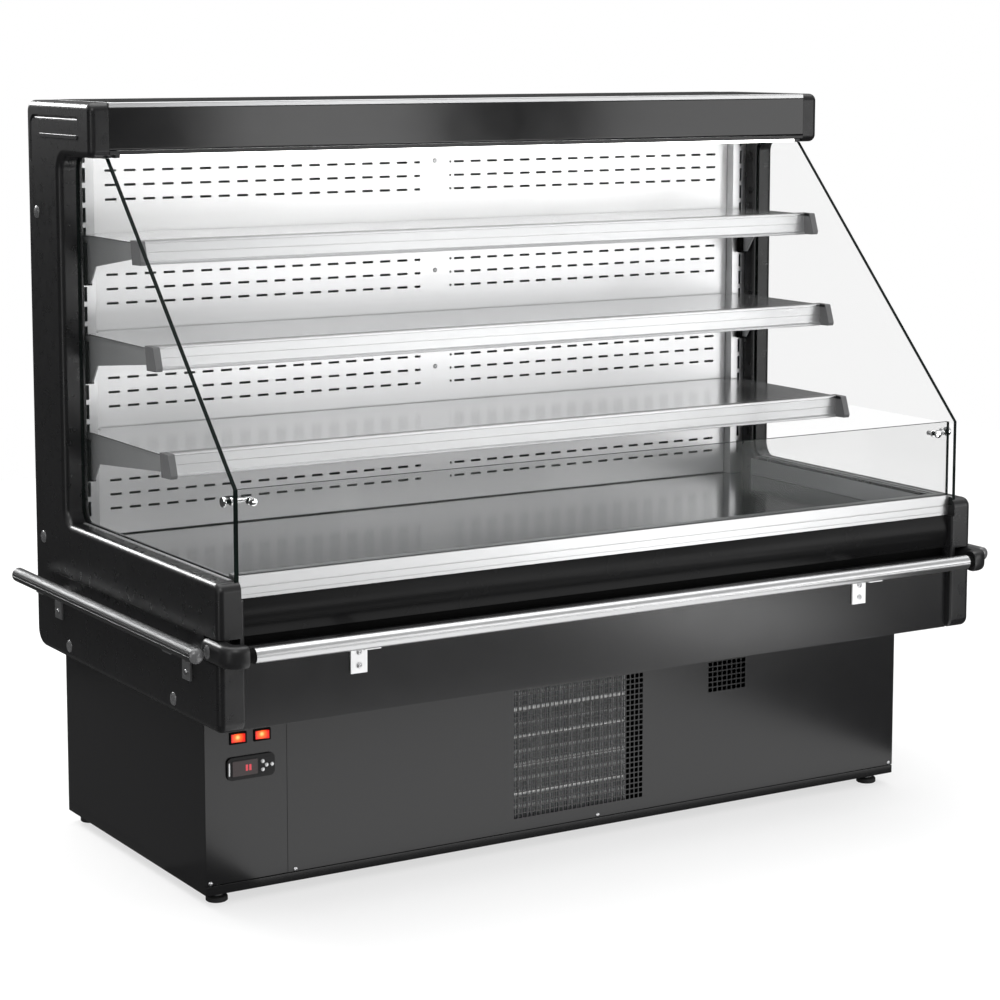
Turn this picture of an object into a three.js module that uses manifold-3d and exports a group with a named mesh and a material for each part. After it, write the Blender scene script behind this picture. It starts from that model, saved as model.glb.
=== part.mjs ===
// Open multideck display fridge: a 1250 mm module on a plinth, with three shelves,
// glass ends, a low front glass, bumper rails and a built-in condensing unit.
// Millimetres, +Z up. The front faces -Y and +X is to the right seen from the front.
// The origin lies on the floor, under the middle of the whole outline.

import * as THREE from 'three';
import { mergeVertices } from 'three/addons/utils/BufferGeometryUtils.js';
import Module from 'manifold-3d';

const wasm = await Module();
wasm.setup();

// ---------------------------------------------------------------- driving sizes

// Carcass
const MODULE = 1250; // clear width between the end panels
const PANEL_T = 40; // end panel thickness
const BODY_D = 659; // end panel depth, nose to rear face
const HEIGHT = 1133; // floor to the top of the end panels
const BODY_BOTTOM = 288; // floor to the underside of the body
const LEDGE_Z = 497; // top of the low part of the end panels
const COLUMN_D = 123; // depth of the end panels' upright column
const ARM_D = 247; // depth of the end panels' top arm
const ARM_H = 81; // height of the top arm and the canopy
const RIM = 6; // rounding round the outer face of the end panels
const WALL_T = 40; // foamed wall thickness
const GAP = 0.3; // joint clearance between pieces that touch

// Corner rounding of the end panels' outline
const ROUND_REAR_TOP = 18;
const ROUND_REAR_BOTTOM = 28;
const ROUND_NOSE = 14;
const ROUND_ARM = 12;
const ROUND_INNER = 22;

// Bumpers
const BUMPER_D = 22; // tube diameter
const BUMPER_Z = 401; // tube axis above the floor
const BUMPER_OUT = 32; // nose face to the front tube's axis
const SIDE_OUT = 30; // outer face to a side tube's axis
const BRACKET_W = 26; // bumper bracket width
const BRACKET_T = 3;
const BRACKET_H = 44;
const BRACKET_FRONT_X = 445; // front brackets, either side of the middle
const BRACKET_SIDE_IN = 98; // side brackets, in from the nose and the rear
const ELBOW_D = 26; // moulded elbow round each nose
const ELBOW_R = 16; // bend radius of its axis
const ELBOW_IN = 5; // axis of its side run, in from the outer face
const ELBOW_SIDE = 46; // how far it reaches back along the side
const ELBOW_START = 17; // its inner end, outside the clear width
const NOTCH_H = 35; // recess for the elbow in the end panel's nose
const NOTCH_D = 18;
const NOTCH_IN = 7; // web left beside the front panels
const NECK_D = 20; // neck between the elbow and the front tube
const NECK_L = 18;
const TUBE_WALL = 1.7;
const PLUG_L = 14; // plug of the elbow inside the front tube

// Plinth
const BASE_INSET = 40.5; // plinth side, in from the outer face
const BASE_SETBACK = 136; // plinth front, back from the nose
const BASE_REAR = 16; // plinth rear, in from the rear face
const FOOT_H = 18; // floor to the plinth tray
const TRAY_H = 13;
const SHEET = 1.5; // sheet metal thickness
const FOOT_D = 32;
const FOOT_PAD = 9; // thickness of the foot's pad
const FOOT_IN = 30; // foot axis in from the plinth's sides and front
const FOOT_REAR_IN = 16; // rear foot axis in from the plinth's rear
const STEM_D = 10;
const STEM_OVER = 10; // stem length above the tray floor
const CONTROL_W = 129; // control panel, left of the plinth front
const GRILLE_X = [-112, 123]; // condenser grille window
const GRILLE_Z = [52, 250];
const VENT_X = [248, 320]; // small vent window
const VENT_Z = [202, 250];

// Controls
const CONTROLLER_W = 75;
const CONTROLLER_H = 33;
const CONTROLLER_FROM_LEFT = 71; // controller centre, in from the plinth's left side
const CONTROLLER_Z = 198;
const CONTROLLER_PROUD = 4;
const CONTROLLER_DEPTH = 46; // casing behind the panel
const CONTROLLER_EDGE = 2; // bezel overlap round its cut-out
const KEY_D = 6;
const KEY_PROUD = 1.2;
const KEY_TRAVEL = 0.8;
const KEY_IN = 13.5; // set key, in from the bezel's right end
const KEY_SPREAD = 6; // up and down keys, left of it and above or below it
const KEY_APART = 8.5; // power key, right of it
const ROCKER_W = 21;
const ROCKER_H = 12;
const ROCKER_T = 8;
const ROCKER_SWING = 7; // tilt to either side, degrees
const ROCKER_FRAME = 2.5; // switch frame round the rocker
const ROCKER_PROUD = 2.5;
const ROCKER_PITCH = 38;
const ROCKER_Z = 242;

// Display chamber
const DECK_Z = 463; // deck surface
const DUCT_D = 41; // air duct between the rear wall and the back panels
const UPRIGHT_W = 27;
const UPRIGHT_D = 59;
const UPRIGHT_T = 2;
const SLOT_IN = 11; // slot line, in from the end panel
const SLOT_W = 4.5;
const SLOT_H = 22;
const SLOT_PITCH = 30;
const INTAKE_COUNT = 12; // air intake slots along the deck's front
const INTAKE_W = 22;

// Shelves
const SHELF_TOP_Z = 932; // surface of the upper shelf
const SHELF_STEP = 150; // height between shelves
const SHELF_FRONT_Y = 36; // foremost point of the upper shelf
const SHELF_GROW = 46; // each lower shelf reaches this much further forward
const SHELF_SIDE = 8; // shelf end to the end panel
const RAIL_H = 36;
const RAIL_T = 2;
const RAIL_D = 13;
const RAIL_BACK = 39; // rail rear face behind the foremost point
const CAP_W = 11;
const PAN_FLANGE = 24;
const PLATE_T = 2.5; // shelf bracket plate
const PLATE_REAR_H = 74;
const PLATE_FRONT_H = 26;
const BOOT_W = 12; // moulded boot at the bracket's rear
const BOOT_D = 12;
const HOOK_H = 8;
const HOOK_LIP = 6;
const HOOK_SLACK = 2; // behind the upright's slotted wall

// Glass
const GLASS_T = 6;
const GLASS_IN = 32; // side glass mid-plane, in from the outer face
const GLASS_FRONT = 7; // side glass front edge, back from the nose
const GLASS_KNEE_Z = 621;
const GLASS_TOP_FRONT = 11; // side glass top corner, behind the canopy's front
const GLASS_SEAT = 12; // depth of the glass in its seats
const GLASS_REAR_SEAT = 5; // depth of the side glass in the column
const STUD_Z = 602;
const STUD_IN = 26; // stud axis behind the side glass's front edge
const STUD_D = 6;
const KNOB_D = 15;
const KNOB_L = 6;
const STUD_REACH = 26; // front knob's axis, in from the side glass

// Front of the body
const PROFILE_TOP = 502; // top of the aluminium front profile
const PROFILE_H = 32;
const PROFILE_SET = 15; // profile face, back from the nose
const PROFILE_D = 24;
const PROFILE_LAP = 4.5; // the profile laps this far into each end panel
const PROFILE_LIP = 2; // profile wall in front of the front glass
const UPPER_PANEL_BOTTOM = 411;
const LOWER_PANEL_TOP = 404;
const LOWER_PANEL_SET = 12;
const UPPER_PANEL_SET = 14;
const UPPER_PANEL_BULGE = 5;
const FRONT_WALL_SET = 28; // foamed front wall, back from the nose

// Canopy
const ROOF_T = 23;
const FASCIA_T = 6;
const FASCIA_UP = 11; // fascia's bottom edge, above the arms' undersides
const FASCIA_RETURN = 28; // shelf behind the fascia that carries the lamp and the outlet
const RETURN_T = 3;
const FASCIA_OVER = 9; // fascia laps this far into each end panel
const TRIM_H = 6;
const TRIM_T = 1.5;
const OUTLET_D = 48; // depth of the air outlet grille's slotted band
const OUTLET_T = 8;
const OUTLET_COUNT = 16;
const LAMP_W = 24;

// Condensing unit
const COIL_W = 214;
const COIL_D = 44;
const COIL_H = 208;
const COIL_BEHIND = 6; // coil face behind the grille panel
const COIL_X = -12;
const BEND_COUNT = 4; // tube bends at each end of a coil
const BEND_D = 9;
const SHROUD_D = 40;
const FAN_D = 172;
const FAN_TIP = 4; // blade tip clearance
const FAN_HUB = 46;
const FAN_HUB_L = 22;
const BLADES = 5;
const COMPRESSOR_X = 300;
const COMPRESSOR_Y = 80;
const COMPRESSOR_D = 150;
const COMPRESSOR_H = 186;
const COMPRESSOR_RAIL = 40; // how much longer its rail is than its can
const COVER_W = 62; // compressor's terminal cover
const COVER_Z = [40, 92]; // above the compressor's underside

// Evaporator under the deck
const EVAP_W = 1000;
const EVAP_D = 130;
const EVAP_H = 88;
const EVAP_Y = 110; // coil middle
const EVAP_FOOT = 12;
const EVAP_FAN_D = 104;
const EVAP_PLATE_Y = -18;
const MOTOR_D = 38;
const MOTOR_L = 34;

// ---------------------------------------------------------------- derived places

const OUTER = MODULE / 2 + PANEL_T;
const INNER = MODULE / 2;
const BACK = (BODY_D + BUMPER_OUT + BUMPER_D / 2) / 2;
const NOSE = BACK - BODY_D;
const COLUMN_FRONT = BACK - COLUMN_D;
const CANOPY_FRONT = BACK - ARM_D;
const ARM_BOTTOM = HEIGHT - ARM_H;
const BASE_X = OUTER - BASE_INSET;
const BASE_FRONT = NOSE + BASE_SETBACK;
const BASE_BACK = BACK - BASE_REAR;
const WALL_FACE = BACK - WALL_T;
const FLOOR_TOP = BODY_BOTTOM + 2 + WALL_T;
const TRAY_TOP = FOOT_H + TRAY_H;
const TRAY_FLOOR = FOOT_H + SHEET;
const PANEL_FACE = WALL_FACE - DUCT_D;
const UPRIGHT_FRONT = WALL_FACE - UPRIGHT_D;
const GLASS_X = OUTER - GLASS_IN;
const GLASS_Y = NOSE + GLASS_FRONT;
const SLOT_X = INNER - SLOT_IN;
const SHELF_X = INNER - SHELF_SIDE;
const FRONT_WALL = NOSE + FRONT_WALL_SET;
const CONTROLLER_X = -BASE_X + CONTROLLER_FROM_LEFT;
const UNDER_DECK = DECK_Z - SHEET;
const LOWER_FACE = NOSE + LOWER_PANEL_SET;
const TUBE_Y = NOSE - BUMPER_OUT;
const TUBE_BOTTOM = BUMPER_Z - BUMPER_D / 2;
const ELBOW_X = OUTER - ELBOW_IN;
const ELBOW_Y = TUBE_Y + (ELBOW_D - BUMPER_D) / 2;
const ELBOW_END = NOSE + ELBOW_SIDE;
const TUBE_END = INNER + ELBOW_START - NECK_L;
const ROOF_TOP = HEIGHT - TRIM_T;
const TRIM_BACK = CANOPY_FRONT + 3 * FASCIA_T;
const RETURN_Z = ARM_BOTTOM + FASCIA_UP;
const BACK_TOP = RETURN_Z + RETURN_T;
const FRONT_GLASS_Y = NOSE + PROFILE_SET + PROFILE_LIP;
const BODY_UNDER = BODY_BOTTOM + 2;

const SIDES = { left: -1, right: 1 };

// ---------------------------------------------------------------- solids

const WELD = 1e-4;
const FINE = 20; // sides of a round piece
const COARSE = 12; // sides of a small round piece

function toSolid(geometry) {
  const bare = geometry.clone();
  bare.deleteAttribute('normal');
  bare.deleteAttribute('uv');
  const welded = mergeVertices(bare, WELD);
  const corners = welded.index.array;
  const triVerts = [];
  for (let i = 0; i < corners.length; i += 3) {
    const [a, b, c] = [corners[i], corners[i + 1], corners[i + 2]];
    if (a !== b && b !== c && c !== a) triVerts.push(a, b, c);
  }
  return new wasm.Manifold(new wasm.Mesh({
    numProp: 3,
    vertProperties: Float32Array.from(welded.attributes.position.array),
    triVerts: Uint32Array.from(triVerts),
  }));
}

function toGeometry(solid) {
  const mesh = solid.getMesh();
  const geometry = new THREE.BufferGeometry();
  geometry.setAttribute('position', new THREE.BufferAttribute(mesh.vertProperties, 3));
  geometry.setIndex(new THREE.BufferAttribute(mesh.triVerts, 1));
  geometry.computeVertexNormals();
  return geometry;
}

const join = (first, ...rest) => rest.reduce((sum, solid) => sum.add(solid), first);
const cut = (first, ...rest) => rest.reduce((sum, solid) => sum.subtract(solid), first);
const span = (side, a, b) => (side > 0 ? [a, b] : [-b, -a]);
const about = (middle, width) => [middle - width / 2, middle + width / 2];

function box([x0, x1], [y0, y1], [z0, z1]) {
  const geometry = new THREE.BoxGeometry(x1 - x0, y1 - y0, z1 - z0);
  geometry.translate((x0 + x1) / 2, (y0 + y1) / 2, (z0 + z1) / 2);
  return toSolid(geometry);
}

const AXES = {
  x: [new THREE.Vector3(0, 1, 0), new THREE.Vector3(0, 0, 1), new THREE.Vector3(1, 0, 0)],
  y: [new THREE.Vector3(0, 0, 1), new THREE.Vector3(1, 0, 0), new THREE.Vector3(0, 1, 0)],
  z: [new THREE.Vector3(1, 0, 0), new THREE.Vector3(0, 1, 0), new THREE.Vector3(0, 0, 1)],
};

// An outline pushed along one axis. Its own two coordinates are the next two axes in turn:
// (Y, Z) for x, (Z, X) for y and (X, Y) for z.
function push(axis, shape, [from, to], { curveSegments = 3, bevel = 0 } = {}) {
  const geometry = new THREE.ExtrudeGeometry(shape, {
    depth: to - from - 2 * bevel,
    steps: 1,
    curveSegments,
    bevelEnabled: bevel > 0,
    bevelSize: bevel,
    bevelOffset: -bevel,
    bevelThickness: bevel,
    bevelSegments: 2,
  });
  geometry.translate(0, 0, from + bevel);
  geometry.applyMatrix4(new THREE.Matrix4().makeBasis(...AXES[axis]));
  return toSolid(geometry);
}

function rod(axis, diameter, [x, y, z], length, sides = COARSE) {
  const geometry = new THREE.CylinderGeometry(diameter / 2, diameter / 2, length, sides);
  if (axis === 'x') geometry.rotateZ(-Math.PI / 2);
  if (axis === 'z') geometry.rotateX(Math.PI / 2);
  geometry.translate(x, y, z);
  return toSolid(geometry);
}

// Turned piece: profile is [radius, distance along the axis], from the axis back to it.
function turned(axis, profile, [x, y, z], sides = FINE) {
  const points = profile.map(([radius, along]) => new THREE.Vector2(radius, along));
  const geometry = new THREE.LatheGeometry(points, sides);
  if (axis === 'z') geometry.rotateX(Math.PI / 2);
  geometry.translate(x, y, z);
  return toSolid(geometry);
}

// Closed outline from corners [u, v, radius]; a radius rounds its corner with an arc.
function outline(corners) {
  const shape = new THREE.Shape();
  corners.forEach(([u, v, radius = 0], i) => {
    const corner = new THREE.Vector2(u, v);
    const before = corners[(i + corners.length - 1) % corners.length];
    const after = corners[(i + 1) % corners.length];
    const back = new THREE.Vector2(before[0] - u, before[1] - v).normalize();
    const ahead = new THREE.Vector2(after[0] - u, after[1] - v).normalize();
    const half = Math.acos(back.dot(ahead)) / 2;
    const start = corner.clone().addScaledVector(back, radius / Math.tan(half));
    if (i === 0) shape.moveTo(start.x, start.y);
    else shape.lineTo(start.x, start.y);
    if (radius > 0) {
      const middle = back.clone().add(ahead).normalize();
      const centre = corner.clone().addScaledVector(middle, radius / Math.sin(half));
      const end = corner.clone().addScaledVector(ahead, radius / Math.tan(half));
      const from = start.clone().sub(centre).angle();
      const to = end.clone().sub(centre).angle();
      const clockwise = back.cross(ahead) > 0;
      shape.absarc(centre.x, centre.y, radius, from, to, clockwise);
    }
  });
  return shape;
}

// Section of a bent sheet: path is one face, and the metal lies to the left of its run.
function bentSheet(path, thickness) {
  const points = path.map(([u, v]) => new THREE.Vector2(u, v));
  const normalOf = (a, b) => {
    const run = b.clone().sub(a).normalize();
    return new THREE.Vector2(-run.y, run.x);
  };
  const offset = points.map((point, i) => {
    const before = i > 0 ? normalOf(points[i - 1], point) : normalOf(point, points[1]);
    const after = i < points.length - 1 ? normalOf(point, points[i + 1]) : before;
    const mitre = before.clone().add(after).normalize();
    return point.clone().addScaledVector(mitre, thickness / mitre.dot(after));
  });
  return new THREE.Shape([...points, ...offset.reverse()]);
}

// ---------------------------------------------------------------- finishes

const LOOKS = {
  moulding: [0x151516, 0.45, 0],
  blackPaint: [0x1d1d1e, 0.4, 0.1],
  darkPaint: [0x3a3b3c, 0.5, 0.1],
  foamed: [0x8f9294, 0.5, 0.3],
  stainless: [0xb9bbbc, 0.3, 0.9],
  aluminium: [0xd0d2d4, 0.3, 0.9],
  chrome: [0xe4e6e8, 0.1, 1],
  glass: [0xdfe8e6, 0.05, 0],
  rubber: [0x101010, 0.8, 0],
  orange: [0xff5a14, 0.25, 0],
  blackPlastic: [0x0e0e0f, 0.3, 0],
  silverKey: [0xb6b8ba, 0.4, 0.3],
  diffuser: [0xf0f2f2, 0.4, 0],
};

const fridge = new THREE.Group();

function piece(name, solid, look, parent = fridge) {
  const [color, roughness, metalness] = LOOKS[look];
  const material = new THREE.MeshStandardMaterial({ color, roughness, metalness });
  const mesh = new THREE.Mesh(toGeometry(solid), material);
  mesh.name = name;
  parent.add(mesh);
  return mesh;
}

// ---------------------------------------------------------------- end panels

const endOutline = outline([
  [BACK, BODY_BOTTOM, ROUND_REAR_BOTTOM],
  [BACK, HEIGHT, ROUND_REAR_TOP],
  [CANOPY_FRONT, HEIGHT, ROUND_ARM],
  [CANOPY_FRONT, ARM_BOTTOM, ROUND_ARM],
  [COLUMN_FRONT, ARM_BOTTOM, ROUND_INNER],
  [COLUMN_FRONT, LEDGE_Z, ROUND_INNER],
  [NOSE, LEDGE_Z, ROUND_NOSE],
  [NOSE, BODY_BOTTOM, ROUND_NOSE],
]);

function endPanel(side) {
  // Rounded on both faces, then the inner rounding is cut away, so the inner face is flat.
  const whole = push('x', endOutline, span(side, INNER - 2 * RIM, OUTER), { curveSegments: 4, bevel: RIM });
  const inside = box(span(side, INNER - 3 * RIM, INNER), [NOSE - 1, BACK + 1], [0, HEIGHT + 1]);
  const fasciaSeat = box(
    span(side, INNER - 1, INNER + FASCIA_OVER + GAP),
    [CANOPY_FRONT - 1, CANOPY_FRONT + FASCIA_T + GAP],
    [ARM_BOTTOM - 1, HEIGHT + 1],
  );
  const groove = box(
    span(side, GLASS_X - GLASS_T / 2 - GAP, GLASS_X + GLASS_T / 2 + GAP),
    [GLASS_Y - GAP, COLUMN_FRONT + GLASS_REAR_SEAT],
    [LEDGE_Z - GLASS_SEAT, ARM_BOTTOM],
  );
  const profileSeat = box(
    span(side, INNER - 1, INNER + PROFILE_LAP + GAP),
    [NOSE - 1, NOSE + PROFILE_SET + PROFILE_D + GAP],
    [PROFILE_TOP - PROFILE_H - GAP, LEDGE_Z + 1],
  );
  const notchZ = about(BUMPER_Z, NOTCH_H);
  const noseNotch = box(span(side, INNER + NOTCH_IN, OUTER + 1), [NOSE - 1, NOSE + NOTCH_D], notchZ);
  const sideNotch = box(
    span(side, ELBOW_X - ELBOW_D / 2 - GAP, OUTER + 1),
    [NOSE - 1, ELBOW_END + GAP],
    notchZ,
  );
  return cut(whole, inside, fasciaSeat, groove, profileSeat, noseNotch, sideNotch);
}

for (const [end, side] of Object.entries(SIDES)) {
  piece(`end_panel_${end}`, endPanel(side), 'moulding');
}

// ---------------------------------------------------------------- foamed body and roof

function insulatedBody() {
  const wallTop = ROOF_TOP - ROOF_T - GAP;
  const frontTop = UNDER_DECK - GAP;
  const section = outline([
    [FRONT_WALL, BODY_UNDER],
    [BACK, BODY_UNDER],
    [BACK, wallTop],
    [WALL_FACE, wallTop],
    [WALL_FACE, FLOOR_TOP],
    [FRONT_WALL + WALL_T, FLOOR_TOP],
    [FRONT_WALL + WALL_T, frontTop],
    [FRONT_WALL, frontTop],
  ]);
  return push('x', section, about(0, MODULE - 2 * GAP));
}

// The roof's front edge is rebated, so the canopy trim lies flush with it.
function roofPanel() {
  const front = CANOPY_FRONT + FASCIA_T + GAP;
  const slab = box(about(0, MODULE - 2 * GAP), [front, BACK], [ROOF_TOP - ROOF_T, HEIGHT]);
  const rebate = box(about(0, MODULE), [front - 1, TRIM_BACK + GAP], [ROOF_TOP, HEIGHT + 1]);
  return cut(slab, rebate);
}

piece('insulated_body', insulatedBody(), 'foamed');
piece('roof_panel', roofPanel(), 'darkPaint');

// ---------------------------------------------------------------- canopy

const FASCIA_W = MODULE + 2 * FASCIA_OVER;
const FASCIA_TOP = ROOF_TOP - TRIM_H;

function canopyFascia() {
  const front = [CANOPY_FRONT, CANOPY_FRONT + FASCIA_T];
  const plate = box(about(0, FASCIA_W), front, [RETURN_Z, FASCIA_TOP]);
  const shelf = box(
    about(0, MODULE - 2 * GAP),
    [CANOPY_FRONT + FASCIA_T / 2, CANOPY_FRONT + FASCIA_T + FASCIA_RETURN],
    [RETURN_Z, RETURN_Z + RETURN_T],
  );
  return join(plate, shelf);
}

function canopyTrim() {
  const strip = box(
    about(0, FASCIA_W),
    [CANOPY_FRONT, CANOPY_FRONT + FASCIA_T],
    [FASCIA_TOP + GAP, HEIGHT],
  );
  const leg = box(
    about(0, MODULE - 2 * GAP),
    [CANOPY_FRONT + 1, TRIM_BACK],
    [ROOF_TOP + GAP, HEIGHT],
  );
  return join(strip, leg);
}

// The slotted plate that closes the air duct under the roof and lets the air curtain out.
function airOutlet() {
  const front = CANOPY_FRONT + FASCIA_T + GAP;
  const rear = PANEL_FACE + SHEET;
  const z = [BACK_TOP + GAP, BACK_TOP + GAP + OUTLET_T];
  const plate = box(about(0, MODULE - 2 * GAP), [front, rear], z);
  const slotFront = front + FASCIA_RETURN + OUTLET_T;
  const pitch = (MODULE - OUTLET_D) / OUTLET_COUNT;
  const slots = [];
  for (let i = 0; i < OUTLET_COUNT; i += 1) {
    const x = (i - (OUTLET_COUNT - 1) / 2) * pitch;
    slots.push(box(about(x, 0.75 * pitch), [slotFront, slotFront + OUTLET_D], [z[0] - 1, z[1] + 1]));
  }
  return cut(plate, ...slots);
}

function canopyLamp() {
  const top = RETURN_Z - GAP;
  const low = ARM_BOTTOM + GAP;
  const ends = outline([
    [CANOPY_FRONT, top],
    [CANOPY_FRONT, low, 3],
    [CANOPY_FRONT + FASCIA_T, low],
    [CANOPY_FRONT + FASCIA_T, top],
  ]);
  const lens = outline([
    [CANOPY_FRONT + 1, top],
    [CANOPY_FRONT + 1, low, 1],
    [CANOPY_FRONT + LAMP_W, low, 5],
    [CANOPY_FRONT + LAMP_W, top],
  ]);
  return join(
    push('x', ends, about(0, FASCIA_W)),
    push('x', lens, about(0, MODULE - 2 * GAP)),
  );
}

piece('canopy_fascia', canopyFascia(), 'blackPaint');
piece('canopy_trim', canopyTrim(), 'aluminium');
piece('air_outlet_grille', airOutlet(), 'blackPlastic');
piece('canopy_lamp', canopyLamp(), 'diffuser');

// ---------------------------------------------------------------- display chamber

const BACK_EDGE = INNER - UPRIGHT_W - 1; // outer edge of the back panels

function backPanel(side) {
  const [x0, x1] = span(side, GAP, BACK_EDGE);
  const section = bentSheet([
    [x0, WALL_FACE - GAP],
    [x0, PANEL_FACE],
    [x1, PANEL_FACE],
    [x1, WALL_FACE - GAP],
  ], SHEET);
  return push('z', section, [DECK_Z + 2, BACK_TOP]);
}

// Slot centres up an upright: each shelf's upper hook seats on the lower end of a slot.
const HOOK_TOP = 4; // neck top under the shelf's surface
const HOOK_REST = HOOK_TOP + HOOK_H; // neck underside below the shelf's surface
const SLOT_FIRST = SHELF_TOP_Z - HOOK_REST - GAP + SLOT_H / 2;

function slotHeights() {
  const heights = [];
  const low = DECK_Z + SLOT_PITCH;
  const high = BACK_TOP - SLOT_PITCH / 2;
  const below = Math.floor((SLOT_FIRST - low) / SLOT_PITCH);
  const above = Math.floor((high - SLOT_FIRST) / SLOT_PITCH);
  for (let i = -below; i <= above; i += 1) heights.push(SLOT_FIRST + i * SLOT_PITCH);
  return heights;
}

function upright(side) {
  const [x0, x1] = span(side, INNER - GAP - UPRIGHT_W, INNER - GAP);
  const section = bentSheet([
    [x0, WALL_FACE - GAP],
    [x0, UPRIGHT_FRONT],
    [x1, UPRIGHT_FRONT],
    [x1, WALL_FACE - GAP],
  ], UPRIGHT_T);
  const channel = push('z', section, [DECK_Z + GAP, BACK_TOP]);
  const wall = [UPRIGHT_FRONT - 1, UPRIGHT_FRONT + UPRIGHT_T + 1];
  const slots = slotHeights().map((z) => box(about(side * SLOT_X, SLOT_W), wall, about(z, SLOT_H)));
  return cut(channel, ...slots);
}

const DECK_FRONT = NOSE + PROFILE_SET + PROFILE_D + GAP;
const DECK_REAR = PANEL_FACE - 2;
const LEG_W = 40;
const LEG_COUNT = 4;

function deckPan() {
  const section = bentSheet([
    [DECK_REAR, FLOOR_TOP + GAP],
    [DECK_REAR, DECK_Z],
    [DECK_FRONT, DECK_Z],
  ], SHEET);
  const pan = push('x', section, about(0, MODULE - 2 * GAP));
  const pitch = (MODULE - 2 * GAP - LEG_W) / (LEG_COUNT - 1);
  const windows = [];
  for (let i = 0; i < LEG_COUNT - 1; i += 1) {
    const x = (i - (LEG_COUNT - 2) / 2) * pitch;
    windows.push(box(
      about(x, pitch - LEG_W),
      [DECK_REAR - 2 * SHEET, DECK_REAR + 1],
      [FLOOR_TOP - 1, UNDER_DECK - LEG_W / 2],
    ));
  }
  const step = (MODULE - LEG_W) / INTAKE_COUNT;
  const first = DECK_FRONT + WALL_T - PROFILE_D / 2;
  const intakes = [];
  for (let i = 0; i < INTAKE_COUNT; i += 1) {
    const x = (i - (INTAKE_COUNT - 1) / 2) * step;
    intakes.push(box(about(x, 0.8 * step), [first, first + INTAKE_W], [UNDER_DECK - 1, DECK_Z + 1]));
  }
  const notches = Object.values(SIDES).map((side) => box(
    span(side, INNER - 2 * GAP - UPRIGHT_W, INNER + 1),
    [UPRIGHT_FRONT - GAP, DECK_REAR + 1],
    [FLOOR_TOP - 1, DECK_Z + 1],
  ));
  return cut(pan, ...windows, ...intakes, ...notches);
}

for (const [end, side] of Object.entries(SIDES)) {
  piece(`back_panel_${end}`, backPanel(side), 'stainless');
  piece(`upright_${end}`, upright(side), 'stainless');
}
piece('deck_pan', deckPan(), 'stainless');

// ---------------------------------------------------------------- shelves

const PLATE_KNEE = 42; // where the bracket's lower edge turns down, before the upright
const PLATE_KNEE_H = 46;
const PAN_REAR = PANEL_FACE - 6;

function shelfPlaces(index) {
  const top = SHELF_TOP_Z - index * SHELF_STEP;
  const tip = SHELF_FRONT_Y - index * SHELF_GROW;
  const railBack = tip + RAIL_BACK;
  const railFace = railBack - RAIL_D;
  return { top, tip, railBack, railFace };
}

function shelfPan({ top, railBack, railFace }) {
  const front = railFace + RAIL_T + GAP;
  const section = bentSheet([
    [PAN_REAR, top - PAN_FLANGE / 2],
    [PAN_REAR, top],
    [front, top],
    [front, top - PAN_FLANGE],
  ], SHEET);
  const z = [top - SHEET, top];
  const capSide = SHELF_X - CAP_W - GAP;
  const middle = push('x', section, about(0, 2 * (BACK_EDGE - 2)));
  const ends = box(about(0, 2 * SHELF_X), [railBack + GAP, UPRIGHT_FRONT - 5], z);
  const behindRail = box(about(0, 2 * capSide), [front, railBack + 1], z);
  return join(middle, ends, behindRail);
}

function priceRail({ top, tip, railBack, railFace }) {
  const upper = top + GAP + RAIL_T;
  const lower = upper - RAIL_H;
  const section = bentSheet([
    [railBack, upper],
    [railFace, upper],
    [railFace, lower],
    [railFace + RAIL_D / 2, lower],
  ], RAIL_T);
  const inside = SHELF_X - CAP_W;
  const rail = push('x', section, about(0, 2 * inside + 1));
  const wedge = outline([
    [railBack, upper],
    [tip + RAIL_D / 2 + 4, upper, 2],
    [tip, lower + 6, 3],
    [tip + 2, lower + 1, 1],
    [railBack - 6, lower],
  ]);
  const caps = [-1, 1].map((side) => push('x', wedge, span(side, inside, SHELF_X)));
  return join(rail, ...caps);
}

function shelfBracket(side, { top, railBack }) {
  const rear = UPRIGHT_FRONT - GAP;
  const under = top - SHEET - GAP;
  const rest = top - HOOK_REST;
  const relief = 4; // the corner above the hook leans away, so that the shelf can tip up
  const plateOutline = outline([
    [railBack + 2 * GAP, under],
    [railBack + 2 * GAP, top - PLATE_FRONT_H],
    [rear - PLATE_KNEE, top - PLATE_KNEE_H],
    [rear - PLATE_KNEE / 2, top - PLATE_REAR_H],
    [rear, top - PLATE_REAR_H],
    [rear, rest],
    [rear - relief, under],
  ]);
  const x = about(side * SLOT_X, PLATE_T);
  const plate = push('x', plateOutline, x);
  const behind = UPRIGHT_FRONT + UPRIGHT_T + HOOK_SLACK;
  const hookOutline = outline([
    [rear - relief - 2, rest],
    [behind, rest],
    [behind, rest - HOOK_LIP],
    [behind + UPRIGHT_T + 1, rest - HOOK_LIP],
    [behind + UPRIGHT_T + 1, rest + HOOK_H / 2],
    [UPRIGHT_FRONT + UPRIGHT_T + 1, rest + HOOK_H - 1],
    [rear - relief, rest + HOOK_H - 1],
  ]);
  const upperHook = push('x', hookOutline, x);
  const lowerZ = rest - SLOT_PITCH;
  const lowerHook = box(x, [rear - 2, UPRIGHT_FRONT + UPRIGHT_T + 1], [lowerZ + 1, lowerZ + HOOK_H]);
  const bootX = about(side * SLOT_X, BOOT_W);
  const boot = box(bootX, [rear - BOOT_D, rear], [top - PLATE_REAR_H - 3, rest]);
  return join(plate, upperHook, lowerHook, boot);
}

const SHELVES = ['upper', 'middle', 'lower'];

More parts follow.
